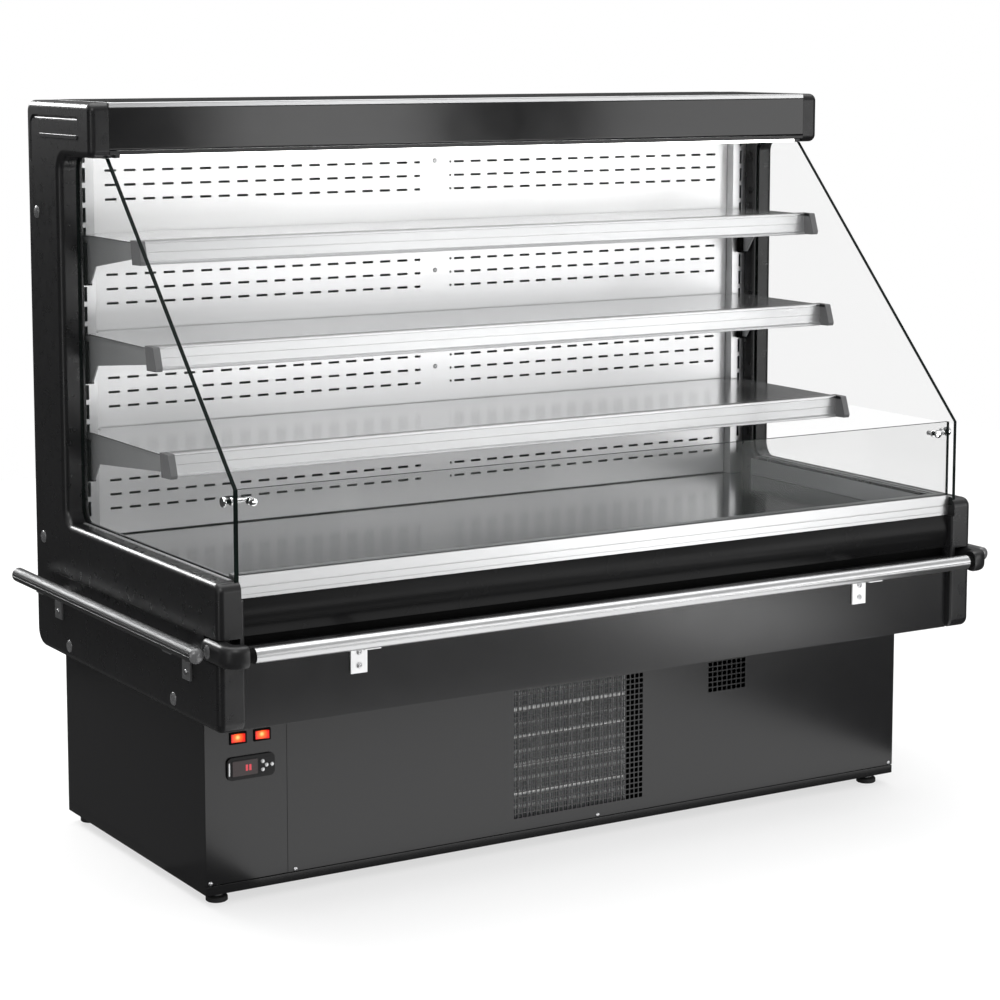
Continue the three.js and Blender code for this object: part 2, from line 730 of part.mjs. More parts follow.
SHELVES.forEach((level, index) => {
  const places = shelfPlaces(index);
  piece(`shelf_${level}`, shelfPan(places), 'stainless');
  piece(`price_rail_${level}`, priceRail(places), 'aluminium');
  for (const [end, side] of Object.entries(SIDES)) {
    piece(`bracket_${level}_${end}`, shelfBracket(side, places), 'stainless');
  }
});

// ---------------------------------------------------------------- glass

function sideGlass(side) {
  const low = LEDGE_Z - GLASS_SEAT + GAP;
  const high = ARM_BOTTOM - GAP;
  const rear = COLUMN_FRONT + GLASS_REAR_SEAT - GAP;
  const pane = outline([
    [GLASS_Y, low],
    [rear, low],
    [rear, high],
    [CANOPY_FRONT + GLASS_TOP_FRONT, high],
    [GLASS_Y, GLASS_KNEE_Z],
  ]);
  const solid = push('x', pane, about(side * GLASS_X, GLASS_T));
  const hole = rod('x', STUD_D + 2 * GAP, [side * GLASS_X, STUD_Y, STUD_Z], 3 * GLASS_T);
  return cut(solid, hole);
}

const STUD_Y = GLASS_Y + STUD_IN;
const FRONT_KNOB_X = GLASS_X - GLASS_T / 2 - STUD_REACH;

function frontGlass() {
  const pane = box(
    about(0, 2 * (GLASS_X - GLASS_T / 2 - 2 * GAP)),
    [FRONT_GLASS_Y, FRONT_GLASS_Y + GLASS_T],
    [PROFILE_TOP - GLASS_SEAT + GAP, GLASS_KNEE_Z - 1],
  );
  const holes = [-1, 1].map((side) => (
    rod('y', STUD_D + 2 * GAP, [side * FRONT_KNOB_X, FRONT_GLASS_Y, STUD_Z], 3 * GLASS_T)
  ));
  return cut(pane, ...holes);
}

// Two crossed pins that tie a side glass to the front glass, each with its knob outside.
function glassStud(side) {
  const outside = GLASS_X + GLASS_T / 2 + GAP;
  const front = FRONT_GLASS_Y - GAP;
  const sideKnob = rod('x', KNOB_D, [side * (outside + KNOB_L / 2), STUD_Y, STUD_Z], KNOB_L, FINE);
  const sideL = outside + 1 - FRONT_KNOB_X;
  const sidePin = rod('x', STUD_D, [side * (FRONT_KNOB_X + sideL / 2), STUD_Y, STUD_Z], sideL);
  const at = side * FRONT_KNOB_X;
  const frontKnob = rod('y', KNOB_D - 3, [at, front - KNOB_L / 2, STUD_Z], KNOB_L, FINE);
  const frontL = STUD_Y + STUD_D / 2 + 2 - (front - 1);
  const frontPin = rod('y', STUD_D, [at, front - 1 + frontL / 2, STUD_Z], frontL);
  return join(sideKnob, sidePin, frontKnob, frontPin);
}

for (const [end, side] of Object.entries(SIDES)) {
  piece(`side_glass_${end}`, sideGlass(side), 'glass');
  piece(`glass_stud_${end}`, glassStud(side), 'chrome');
}
piece('front_glass', frontGlass(), 'glass');

// ---------------------------------------------------------------- front of the body

function deckFrontProfile() {
  const face = NOSE + PROFILE_SET;
  const rear = face + PROFILE_D;
  const low = PROFILE_TOP - PROFILE_H;
  const section = outline([
    [face, PROFILE_TOP, 1],
    [face, low],
    [FRONT_WALL, low],
    [FRONT_WALL, UNDER_DECK],
    [rear, UNDER_DECK],
    [rear, PROFILE_TOP, 2],
    [FRONT_GLASS_Y + GLASS_T + GAP, PROFILE_TOP],
    [FRONT_GLASS_Y + GLASS_T + GAP, PROFILE_TOP - GLASS_SEAT],
    [FRONT_GLASS_Y - GAP, PROFILE_TOP - GLASS_SEAT],
    [FRONT_GLASS_Y - GAP, PROFILE_TOP],
  ]);
  const lapped = push('x', section, about(0, MODULE + 2 * PROFILE_LAP));
  // Below the seat in the end panels only the clear width is left.
  const trimmed = [-1, 1].map((side) => box(
    span(side, INNER - GAP, INNER + PROFILE_LAP + 1),
    [face - 1, rear + 1],
    [UNDER_DECK - 1, low],
  ));
  return cut(lapped, ...trimmed);
}

function frontUpperPanel() {
  const rear = FRONT_WALL - GAP;
  const top = PROFILE_TOP - PROFILE_H - GAP;
  const face = NOSE + UPPER_PANEL_SET;
  const bulge = new THREE.QuadraticBezierCurve(
    new THREE.Vector2(face, top),
    new THREE.Vector2(face - 2 * UPPER_PANEL_BULGE, (top + UPPER_PANEL_BOTTOM) / 2),
    new THREE.Vector2(face + 3, UPPER_PANEL_BOTTOM),
  );
  const skin = bulge.getPoints(8).map(({ x, y }) => [x, y]);
  const section = bentSheet([[rear, top], ...skin, [rear, UPPER_PANEL_BOTTOM]], SHEET);
  return push('x', section, about(0, MODULE - 2 * GAP));
}

function frontLowerPanel() {
  const rear = FRONT_WALL - GAP;
  const section = bentSheet([
    [rear, LOWER_PANEL_TOP],
    [LOWER_FACE, LOWER_PANEL_TOP],
    [LOWER_FACE, BODY_BOTTOM],
    [rear, BODY_BOTTOM],
  ], SHEET);
  return push('x', section, about(0, MODULE - 2 * GAP));
}

piece('deck_front_profile', deckFrontProfile(), 'aluminium');
piece('front_upper_panel', frontUpperPanel(), 'blackPaint');
piece('front_lower_panel', frontLowerPanel(), 'blackPaint');

// ---------------------------------------------------------------- bumpers

function frontBumper() {
  const length = 2 * (TUBE_END - GAP);
  const tube = rod('x', BUMPER_D, [0, TUBE_Y, BUMPER_Z], length, FINE);
  const bore = rod('x', BUMPER_D - 2 * TUBE_WALL, [0, TUBE_Y, BUMPER_Z], length + 2, FINE);
  const brackets = [-1, 1].map((side) => {
    const x = about(side * BRACKET_FRONT_X, BRACKET_W);
    const rear = LOWER_FACE - GAP;
    const plate = box(x, [rear - BRACKET_T, rear], [TUBE_BOTTOM - BRACKET_H, TUBE_BOTTOM + 1]);
    const tab = box(x, [TUBE_Y, rear], [TUBE_BOTTOM - BRACKET_T + 1, TUBE_BOTTOM + 1]);
    return join(plate, tab);
  });
  return join(cut(tube, bore), ...brackets);
}

// Elbow that wraps the nose: a bend in the level plane, a neck and a plug for the front tube.
function bumperCorner(side) {
  const start = INNER + ELBOW_START;
  const turn = new THREE.Path();
  turn.moveTo(start, ELBOW_Y);
  turn.lineTo(ELBOW_X - ELBOW_R, ELBOW_Y);
  turn.absarc(ELBOW_X - ELBOW_R, ELBOW_Y + ELBOW_R, ELBOW_R, -Math.PI / 2, 0, false);
  turn.lineTo(ELBOW_X, ELBOW_END);
  const path = new THREE.CurvePath();
  const knots = turn.getPoints(8).map(({ x, y }) => new THREE.Vector3(side * x, y, BUMPER_Z));
  for (let i = 1; i < knots.length; i += 1) path.add(new THREE.LineCurve3(knots[i - 1], knots[i]));
  const round = new THREE.Shape().absarc(0, 0, ELBOW_D / 2, 0, 2 * Math.PI);
  const elbow = toSolid(new THREE.ExtrudeGeometry(round, {
    steps: 14,
    curveSegments: FINE / 2,
    extrudePath: path,
  }));
  const neckL = NECK_L + 2;
  const neck = rod('x', NECK_D, [side * (TUBE_END + neckL / 2), TUBE_Y, BUMPER_Z], neckL, FINE);
  const plugD = BUMPER_D - 2 * TUBE_WALL - 2 * GAP;
  const plug = rod('x', plugD, [side * (TUBE_END - PLUG_L / 2 + 1), TUBE_Y, BUMPER_Z], PLUG_L + 2, FINE);
  return join(elbow, neck, plug);
}

function sideBumper(side) {
  const x = side * (OUTER + SIDE_OUT);
  const round = BUMPER_D / 4;
  const radius = BUMPER_D / 2;
  const tube = turned('y', [
    [0, 0],
    [radius - round, 0],
    [radius, round],
    [radius, BODY_D - round],
    [radius - round, BODY_D],
    [0, BODY_D],
  ], [x, NOSE, BUMPER_Z]);
  const wall = span(side, OUTER + GAP, OUTER + GAP + BRACKET_T);
  const reach = span(side, OUTER + GAP, OUTER + SIDE_OUT + BRACKET_T);
  const brackets = [NOSE + BRACKET_SIDE_IN, BACK - BRACKET_SIDE_IN].map((middle) => {
    const y = about(middle, BRACKET_W);
    const plate = box(wall, y, [TUBE_BOTTOM - BRACKET_H, TUBE_BOTTOM + 1]);
    const tab = box(reach, y, [TUBE_BOTTOM - BRACKET_T + 1, TUBE_BOTTOM + 1]);
    return join(plate, tab);
  });
  return join(tube, ...brackets);
}

piece('front_bumper', frontBumper(), 'aluminium');
for (const [end, side] of Object.entries(SIDES)) {
  piece(`bumper_corner_${end}`, bumperCorner(side), 'blackPlastic');
  piece(`side_bumper_${end}`, sideBumper(side), 'darkPaint');
}

// ---------------------------------------------------------------- plinth

const CASING_FRONT = BASE_FRONT + SHEET + GAP;
const PLINTH_Z = [TRAY_TOP + GAP, BODY_UNDER - GAP];
const FLANGE = 14; // front flanges of the plinth casing
const SEAM_X = -BASE_X + CONTROL_W;

const footPlaces = {
  front_left: [-BASE_X + FOOT_IN, BASE_FRONT + FOOT_IN],
  front_right: [BASE_X - FOOT_IN, BASE_FRONT + FOOT_IN],
  rear_left: [-BASE_X + FOOT_IN, BASE_BACK - FOOT_REAR_IN],
  rear_right: [BASE_X - FOOT_IN, BASE_BACK - FOOT_REAR_IN],
};

function plinthTray() {
  const outer = box(about(0, 2 * BASE_X), [BASE_FRONT, BASE_BACK], [FOOT_H, TRAY_TOP]);
  const inner = box(
    about(0, 2 * (BASE_X - SHEET)),
    [BASE_FRONT + SHEET, BASE_BACK - SHEET],
    [TRAY_FLOOR, TRAY_TOP + 1],
  );
  const holes = Object.values(footPlaces).map(([x, y]) => (
    rod('z', STEM_D + 2 * GAP, [x, y, FOOT_H], 4 * SHEET)
  ));
  return cut(outer, inner, ...holes);
}

function foot([x, y]) {
  const radius = FOOT_D / 2;
  const neck = STEM_D;
  const top = FOOT_H - GAP;
  return turned('z', [
    [0, 0],
    [radius, 0],
    [radius, FOOT_PAD - 3],
    [radius - 3, FOOT_PAD],
    [neck, FOOT_PAD],
    [neck, top],
    [STEM_D / 2, top],
    [STEM_D / 2, TRAY_FLOOR + STEM_OVER],
    [0, TRAY_FLOOR + STEM_OVER],
  ], [x, y, 0], 16);
}

function plinthCasing() {
  const section = bentSheet([
    [BASE_X - FLANGE, CASING_FRONT],
    [BASE_X, CASING_FRONT],
    [BASE_X, BASE_BACK],
    [-BASE_X, BASE_BACK],
    [-BASE_X, CASING_FRONT],
    [-BASE_X + FLANGE, CASING_FRONT],
  ], SHEET);
  return push('z', section, PLINTH_Z);
}

function grillePanel() {
  const y = [BASE_FRONT, BASE_FRONT + SHEET];
  const plate = box([SEAM_X + 2 * GAP, BASE_X], y, PLINTH_Z);
  const through = [y[0] - 1, y[1] + 1];
  return cut(plate, box(GRILLE_X, through, GRILLE_Z), box(VENT_X, through, VENT_Z));
}

const rockerX = [-1, 1].map((side) => CONTROLLER_X + side * ROCKER_PITCH / 2);

// The control panel carries the two switch housings and the controller's cut-out.
function controlPanel() {
  const y = [BASE_FRONT, BASE_FRONT + SHEET];
  const plate = box([-BASE_X, SEAM_X], y, PLINTH_Z);
  const cutOut = box(
    about(CONTROLLER_X, CONTROLLER_W - 2 * CONTROLLER_EDGE + 2 * GAP),
    [y[0] - 1, y[1] + 1],
    about(CONTROLLER_Z, CONTROLLER_H - 2 * CONTROLLER_EDGE + 2 * GAP),
  );
  const frames = rockerX.map((x) => box(
    about(x, ROCKER_W + 2 * ROCKER_FRAME),
    [BASE_FRONT - ROCKER_PROUD, BASE_FRONT + ROCKER_T + ROCKER_FRAME],
    about(ROCKER_Z, ROCKER_H + 2 * ROCKER_FRAME),
  ));
  const pockets = rockerX.map((x) => box(
    about(x, ROCKER_W + 5 * GAP),
    [BASE_FRONT - ROCKER_PROUD - 1, BASE_FRONT + ROCKER_T],
    about(ROCKER_Z, ROCKER_H + 2 * GAP),
  ));
  return cut(join(cut(plate, cutOut), ...frames), ...pockets);
}

piece('plinth_tray', plinthTray(), 'blackPaint');
piece('plinth_casing', plinthCasing(), 'blackPaint');
piece('grille_panel', grillePanel(), 'blackPaint');
piece('control_panel', controlPanel(), 'blackPaint');
for (const [corner, place] of Object.entries(footPlaces)) {
  piece(`foot_${corner}`, foot(place), 'rubber');
}

// ---------------------------------------------------------------- controls

// Rocker seen from above: two facets that meet in a shallow valley over the pivot.
function rocker() {
  const half = ROCKER_W / 2;
  const front = -ROCKER_PROUD - 1.5;
  const section = outline([
    [-half, front],
    [0, front + 1.3],
    [half, front],
    [half - 1.5, 0],
    [half / 3, ROCKER_T / 2],
    [-half / 3, ROCKER_T / 2],
    [-half + 1.5, 0],
  ]);
  return push('z', section, about(0, ROCKER_H));
}

['light_rocker', 'defrost_rocker'].forEach((name, i) => {
  const pivot = new THREE.Group();
  pivot.position.set(rockerX[i], BASE_FRONT + 1, ROCKER_Z);
  pivot.rotation.z = THREE.MathUtils.degToRad(-ROCKER_SWING);
  fridge.add(pivot);
  piece(name, rocker(), 'orange', pivot);
});

const KEY_FRONT = BASE_FRONT - GAP - CONTROLLER_PROUD - KEY_PROUD;
const KEY_IN_CASE = 1.5; // key length inside the controller at rest
const KEY_SEAT = KEY_IN_CASE + KEY_TRAVEL + GAP;
const setKeyX = CONTROLLER_X + CONTROLLER_W / 2 - KEY_IN;
const keyPlaces = {
  key_up: [setKeyX - KEY_SPREAD, CONTROLLER_Z + KEY_SPREAD],
  key_down: [setKeyX - KEY_SPREAD, CONTROLLER_Z - KEY_SPREAD],
  key_set: [setKeyX, CONTROLLER_Z],
  key_power: [setKeyX + KEY_APART, CONTROLLER_Z],
};

function controller() {
  const face = BASE_FRONT - GAP - CONTROLLER_PROUD;
  const bezel = box(
    about(CONTROLLER_X, CONTROLLER_W),
    [face, BASE_FRONT - GAP],
    about(CONTROLLER_Z, CONTROLLER_H),
  );
  const casing = box(
    about(CONTROLLER_X, CONTROLLER_W - 2 * CONTROLLER_EDGE),
    [face + 1, BASE_FRONT + CONTROLLER_DEPTH],
    about(CONTROLLER_Z, CONTROLLER_H - 2 * CONTROLLER_EDGE),
  );
  const seats = Object.values(keyPlaces).map(([x, z]) => (
    rod('y', KEY_D + 2 * GAP, [x, face, z], 2 * KEY_SEAT)
  ));
  return cut(join(bezel, casing), ...seats);
}

piece('controller', controller(), 'blackPlastic');
for (const [name, [x, z]] of Object.entries(keyPlaces)) {
  const length = KEY_PROUD + KEY_IN_CASE;
  piece(name, rod('y', KEY_D, [x, KEY_FRONT + length / 2, z], length), 'silverKey');
}

// ---------------------------------------------------------------- fans and coils

const SHAFT_D = 6;
const BORE_END = 8; // the hub's bore ends this far in front of the rotor's middle
const CARRIER_BACK = 18; // fan plate to the motor's carrier
const CARRIER_T = 3;
const BLADE_T = 1.6;
const BLADE_PITCH = 32; // degrees

// Motor on a carrier bar behind a round opening, with its shaft through the opening.
function motorMount([x, y, z], openingD, rotorY) {
  const half = openingD / 2 + 12;
  const height = about(z, MOTOR_D / 2);
  const front = y + CARRIER_BACK;
  const bar = box([x - half, x + half], [front, front + CARRIER_T], height);
  const legs = [
    box([x - half, x - half + 8], [y, front + 1], height),
    box([x + half - 8, x + half], [y, front + 1], height),
  ];
  const motor = rod('y', MOTOR_D, [x, front + MOTOR_L / 2, z], MOTOR_L, FINE);
  const shaftEnd = rotorY - BORE_END + GAP;
  const shaftL = front + 1 - shaftEnd;
  const shaft = rod('y', SHAFT_D, [x, shaftEnd + shaftL / 2, z], shaftL);
  return join(bar, ...legs, motor, shaft);
}

// Rotor about Y: a hub with a blind bore for the shaft, and pitched blades.
function fanRotor(diameter, hubD) {
  const hub = rod('y', hubD, [0, 0, 0], FAN_HUB_L, FINE);
  const boreD = SHAFT_D + 2 * GAP;
  const bore = rod('y', boreD, [0, FAN_HUB_L / 2, 0], FAN_HUB_L + 2 * BORE_END);
  const root = hubD / 2 - 3;
  const tip = diameter / 2;
  const chord = (Math.PI * tip) / BLADES;
  const blade = outline([
    [root, -0.25 * chord],
    [0.9 * tip, -0.4 * chord, 0.1 * tip],
    [tip, 0, 0.4 * tip],
    [0.92 * tip, 0.36 * chord, 0.1 * tip],
    [root, 0.25 * chord],
  ]);
  const blades = [];
  for (let i = 0; i < BLADES; i += 1) {
    const geometry = new THREE.ExtrudeGeometry(blade, {
      depth: BLADE_T,
      steps: 1,
      curveSegments: 3,
      bevelEnabled: false,
    });
    geometry.translate(0, 0, -BLADE_T / 2);
    geometry.rotateX(Math.PI / 2 - THREE.MathUtils.degToRad(BLADE_PITCH));
    geometry.rotateY((i * 2 * Math.PI) / BLADES);
    blades.push(toSolid(geometry));
  }
  return cut(join(hub, ...blades), bore);
}

function addRotor(name, diameter, hubD, [x, y, z]) {
  const axle = new THREE.Group();
  axle.position.set(x, y, z);
  fridge.add(axle);
  piece(name, fanRotor(diameter, hubD), 'blackPlastic', axle);
}

// Half-round tube bend that leaves the end plate at X = x and comes back to it.
function hairpin(side, [x, y, z], radius) {
  const sunk = 1;
  const bend = new THREE.EllipseCurve(0, 0, radius, radius, -Math.PI / 2, Math.PI / 2);
  const points = bend.getPoints(4).map((point) => (
    new THREE.Vector3(x + side * point.x, y, z + point.y)
  ));
  const path = new THREE.CatmullRomCurve3([
    new THREE.Vector3(x - side * sunk, y, z - radius),
    ...points,
    new THREE.Vector3(x - side * sunk, y, z + radius),
  ]);
  const tube = new THREE.Shape().absarc(0, 0, BEND_D / 2, 0, 2 * Math.PI);
  const geometry = new THREE.ExtrudeGeometry(tube, { steps: 7, curveSegments: 3, extrudePath: path });
  return toSolid(geometry);
}

// Finned block between two end plates; the plates stand on footZ, and tube bends pass outside.
function coil([x0, x1], [y0, y1], [z0, z1], footZ) {
  const plateT = 2;
  const proud = 4;
  const fins = box([x0 + 1, x1 - 1], [y0 + proud, y1 - proud], [z0 + proud, z1 - proud]);
  const bends = [];
  const pitch = (z1 - z0 - 2 * proud) / BEND_COUNT;
  for (let i = 0; i < BEND_COUNT; i += 1) {
    const z = z0 + proud + (i + 0.5) * pitch;
    bends.push(hairpin(-1, [x0, (y0 + y1) / 2, z], pitch / 4));
    bends.push(hairpin(1, [x1, (y0 + y1) / 2, z], pitch / 4));
  }
  const leftPlate = box([x0, x0 + plateT], [y0, y1], [footZ, z1]);
  const rightPlate = box([x1 - plateT, x1], [y0, y1], [footZ, z1]);
  return join(fins, leftPlate, rightPlate, ...bends);
}

// ---------------------------------------------------------------- condensing unit

const COIL_FRONT = BASE_FRONT + SHEET + COIL_BEHIND;
const COIL_BACK = COIL_FRONT + COIL_D;
const COIL_TOP = GRILLE_Z[1] + 4;
const COIL_RANGE_Z = [COIL_TOP - COIL_H, COIL_TOP];
const SHROUD_PLATE = COIL_BACK + GAP + SHROUD_D - SHEET;
const FAN_Z = COIL_TOP - COIL_H / 2;
const ROTOR_Y = SHROUD_PLATE + SHEET / 2;

function condenserShroud() {
  const x = about(COIL_X, COIL_W);
  const inner = about(COIL_X, COIL_W - 2 * SHEET);
  const [z0, z1] = COIL_RANGE_Z;
  const hood = box(x, [COIL_BACK + GAP, SHROUD_PLATE + SHEET], [z0, z1]);
  const hollow = box(inner, [COIL_BACK - 1, SHROUD_PLATE], [z0 + SHEET, z1 - SHEET]);
  const openingD = FAN_D + 2 * FAN_TIP;
  const opening = rod('y', openingD, [COIL_X, SHROUD_PLATE, FAN_Z], 4 * SHEET, 2 * FINE);
  const mount = motorMount([COIL_X, SHROUD_PLATE + SHEET / 2, FAN_Z], openingD, ROTOR_Y);
  return join(cut(hood, hollow, opening), mount);
}

function compressor() {
  const radius = COMPRESSOR_D / 2;
  const base = TRAY_FLOOR + GAP;
  const under = base + 11;
  const high = base + COMPRESSOR_H;
  const weld = under + 0.52 * COMPRESSOR_H;
  const at = [COMPRESSOR_X, COMPRESSOR_Y, 0];
  const can = turned('z', [
    [0, under],
    [0.7 * radius, under],
    [0.92 * radius, under + 14],
    [0.97 * radius, under + 34],
    [0.97 * radius, weld],
    [radius, weld],
    [radius, weld + 5],
    [0.95 * radius, weld + 5],
    [0.93 * radius, high - 32],
    [0.8 * radius, high - 13],
    [0.5 * radius, high - 3],
    [0, high],
  ], at, 24);
  const rail = box(
    about(COMPRESSOR_X, COMPRESSOR_D + COMPRESSOR_RAIL),
    about(COMPRESSOR_Y, 0.6 * COMPRESSOR_D),
    [under, under + 3],
  );
  const cushions = [];
  for (const side of [-1, 1]) {
    for (const end of [-1, 1]) {
      const x = COMPRESSOR_X + side * (radius + 9);
      const y = COMPRESSOR_Y + end * 0.2 * COMPRESSOR_D;
      cushions.push(rod('z', 18, [x, y, (base + under + 1) / 2], under + 1 - base));
    }
  }
  const cover = box(
    about(COMPRESSOR_X, COVER_W),
    [COMPRESSOR_Y - radius - 22, COMPRESSOR_Y - radius + 12],
    [under + COVER_Z[0], under + COVER_Z[1]],
  );
  return join(can, rail, ...cushions, cover);
}

piece('condenser_coil', coil(
  about(COIL_X, COIL_W),
  [COIL_FRONT, COIL_BACK],
  COIL_RANGE_Z,
  TRAY_FLOOR + GAP,
), 'aluminium');
piece('condenser_fan_shroud', condenserShroud(), 'blackPaint');
addRotor('condenser_fan', FAN_D, FAN_HUB, [COIL_X, ROTOR_Y, FAN_Z]);
piece('compressor', compressor(), 'blackPaint');

// ---------------------------------------------------------------- evaporator

const EVAP_FAN_Z = (FLOOR_TOP + UNDER_DECK) / 2;
const EVAP_ROTOR_Y = EVAP_PLATE_Y + SHEET / 2;
const EVAP_HUB = 34;

function evaporatorPlate() {
  const plate = box(
    about(0, MODULE - 2 * GAP),
    [EVAP_PLATE_Y, EVAP_PLATE_Y + SHEET],
    [FLOOR_TOP + GAP, UNDER_DECK - GAP],
  );
  const openingD = EVAP_FAN_D + 2 * FAN_TIP;
  const opening = rod('y', openingD, [0, EVAP_PLATE_Y, EVAP_FAN_Z], 4 * SHEET, 2 * FINE);
  const mount = motorMount([0, EVAP_ROTOR_Y, EVAP_FAN_Z], openingD, EVAP_ROTOR_Y);
  return join(cut(plate, opening), mount);
}

piece('evaporator_coil', coil(
  about(0, EVAP_W),
  about(EVAP_Y, EVAP_D),
  [FLOOR_TOP + EVAP_FOOT, FLOOR_TOP + EVAP_FOOT + EVAP_H],
  FLOOR_TOP + GAP,
), 'aluminium');
piece('evaporator_fan_plate', evaporatorPlate(), 'stainless');
addRotor('evaporator_fan', EVAP_FAN_D, EVAP_HUB, [0, EVAP_ROTOR_Y, EVAP_FAN_Z]);

export default fridge;
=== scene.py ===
# Open multideck display fridge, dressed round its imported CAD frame.
# Lengths in this script are millimetres; pieces are scaled to metres when they are made.
from math import acos, copysign, cos, pi, radians, sin, tan

import bmesh
import bpy
from mathutils import Matrix, Vector


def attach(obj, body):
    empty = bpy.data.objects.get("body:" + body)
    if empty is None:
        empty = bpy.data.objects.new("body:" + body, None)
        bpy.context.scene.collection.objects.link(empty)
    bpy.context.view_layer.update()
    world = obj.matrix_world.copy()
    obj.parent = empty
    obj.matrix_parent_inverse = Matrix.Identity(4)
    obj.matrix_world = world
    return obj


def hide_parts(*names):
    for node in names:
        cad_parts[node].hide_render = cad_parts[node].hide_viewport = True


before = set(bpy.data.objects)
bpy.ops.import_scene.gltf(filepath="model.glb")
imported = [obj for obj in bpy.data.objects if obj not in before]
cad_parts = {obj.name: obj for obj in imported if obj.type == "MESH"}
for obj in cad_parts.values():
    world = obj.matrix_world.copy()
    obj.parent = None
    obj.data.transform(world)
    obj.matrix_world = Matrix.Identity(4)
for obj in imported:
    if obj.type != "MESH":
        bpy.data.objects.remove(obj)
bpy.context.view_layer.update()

MM = 0.001
SIDES = {"left": -1, "right": 1}

# Sizes shared with the CAD, in millimetres
OUTER, INNER, BACK, NOSE = 665, 625, 351, -308
HEIGHT, LEDGE, BODY_BOTTOM, ARM_BOTTOM = 1133, 497, 288, 1052
COLUMN_FRONT, CANOPY_FRONT = 228, 104
BASE_X, BASE_FRONT = 624.5, -172
DECK_Z, PANEL_FACE, WALL_FACE = 463, 270, 311
RETURN_Z, BACK_TOP, FASCIA_TOP, ROOF_TOP = 1063, 1066, 1125.5, 1131.5
GLASS_X, GLASS_Y, GLASS_T = 633, -301, 6
FRONT_GLASS_Y, STUD_Y, STUD_Z, FRONT_KNOB_X = -291, -275, 602, 604
PROFILE_TOP, PROFILE_H, PROFILE_FACE = 502, 32, -293
BUMPER_Z, BUMPER_R, TUBE_Y, TUBE_END = 401, 11, -340, 624
LOWER_FACE = -296
CONTROLLER_X, CONTROLLER_Z = -553.5, 198
ROCKER_Z, ROCKER_PITCH = 242, 38
SEAM_X = -495.5
SHELVES = {"upper": (932, 36), "middle": (782, -10), "lower": (632, -56)}
SHELF_X, CAP_W, RAIL_BACK, RAIL_D, RAIL_H = 617, 11, 39, 13, 36
GAP, SHEET = 0.3, 1.5    # clearance between pieces, thickness of the painted sheets
BETWEEN = INNER - GAP    # half the length of what fits between the end panels
FASCIA_X, FASCIA_T, PROFILE_X, PROFILE_D = 634, 6, 629.5, 24
BODY_FRONT, LOWER_TOP, UPPER_LIP = -280, 404, 417
PAST = 1                 # how far a cutter runs past the surface that it cuts
FOOT_X, FOOT_FRONT, FOOT_REAR = 594.5, -142, 319

# ---- materials


def put(node, **values):
    """Set a node's sockets by name, with _ for a space."""
    for socket, value in values.items():
        node.inputs[socket.replace("_", " ")].default_value = value


def add(tree, kind, setting="", choice="", **values):
    """A new shader node with one of its settings chosen and its sockets set."""
    node = tree.nodes.new("ShaderNode" + kind)
    if setting:
        setattr(node, setting, choice)
    put(node, **values)
    return node


def look(name, color, rough, metal=0, vary=0.12, patch=9, uneven=0.15, grain=(700, 0.12, 0.2),
         leather=False, stretch=(1, 1, 1), tint=(1, 1, 1), specular=0.5, **sockets):
    """Principled material with broad colour patches, uneven roughness and a fine surface;
    grain is the scale, strength and distance in millimetres of its bump."""
    material = bpy.data.materials.new(name)
    material.use_nodes = True
    tree = material.node_tree
    link = tree.links.new
    bsdf = tree.nodes["Principled BSDF"]
    put(bsdf, Metallic=metal, Specular_IOR_Level=specular, **sockets)
    mapping = add(tree, "Mapping", Scale=stretch)
    link(add(tree, "TexCoord").outputs["Object"], mapping.inputs["Vector"])

    def texture(output, kind, *setting, **values):
        node = add(tree, kind, *setting, **values)
        link(mapping.outputs["Vector"], node.inputs["Vector"])
        return node.outputs[output]

    mix = add(tree, "Mix", "data_type", "RGBA", A=(*[c * (1 - vary) for c in color], 1),
              B=(*[c * (1 + vary) * t for c, t in zip(color, tint)], 1))
    link(texture("Fac", "TexNoise", Scale=patch, Detail=5), mix.inputs["Factor"])
    link(mix.outputs["Result"], bsdf.inputs["Base Color"])
    spread = add(tree, "MapRange", From_Min=0.3, From_Max=0.7, To_Min=rough * (1 - uneven),
                 To_Max=rough * (1 + uneven))
    link(texture("Fac", "TexNoise", Scale=patch * 7, Detail=3), spread.inputs["Value"])
    link(spread.outputs["Result"], bsdf.inputs["Roughness"])
    scale, strength, distance = grain
    if leather:
        height = texture("Distance", "TexVoronoi", "feature", "SMOOTH_F1", Scale=scale,
                         Smoothness=0.6)
    else:
        height = texture("Fac", "TexNoise", Scale=scale, Detail=2)
    bump = add(tree, "Bump", Strength=strength, Distance=distance * MM)
    link(height, bump.inputs["Height"])
    link(bump.outputs["Normal"], bsdf.inputs["Normal"])
    return material


BRUSHED_X = (1, 45, 45)
BRUSHED_Z = (45, 45, 1)
MOULDING = look(
    "moulded_black", (0.0085, 0.0085, 0.009), 0.3, vary=0.25, grain=(1600, 0.08, 0.1), leather=True,
    specular=0.42)
PAINT = look(
    "black_paint", (0.0078, 0.0078, 0.0082), 0.21, vary=0.1, patch=4, uneven=0.04,
    grain=(900, 0.05, 0.1))
SATIN = look(
    "fascia_paint", (0.009, 0.009, 0.0093), 0.13, vary=0.15, patch=3, uneven=0.1,
    grain=(1100, 0.04, 0.1), specular=0.6)
PANEL_PAINT = look(
    "panel_paint", (0.006, 0.006, 0.0062), 0.26, vary=0.15, patch=3, uneven=0.1,
    grain=(1100, 0.06, 0.2), specular=0.1)
PLASTIC = look(
    "black_plastic", (0.008, 0.008, 0.0085), 0.3, vary=0.25, patch=30, grain=(1400, 0.12, 0.1),
    specular=0.45)
FOAMED = look(
    "foamed_panel", (0.30, 0.305, 0.31), 0.42, 0.25, vary=0.08, patch=5, grain=(600, 0.10, 0.2))
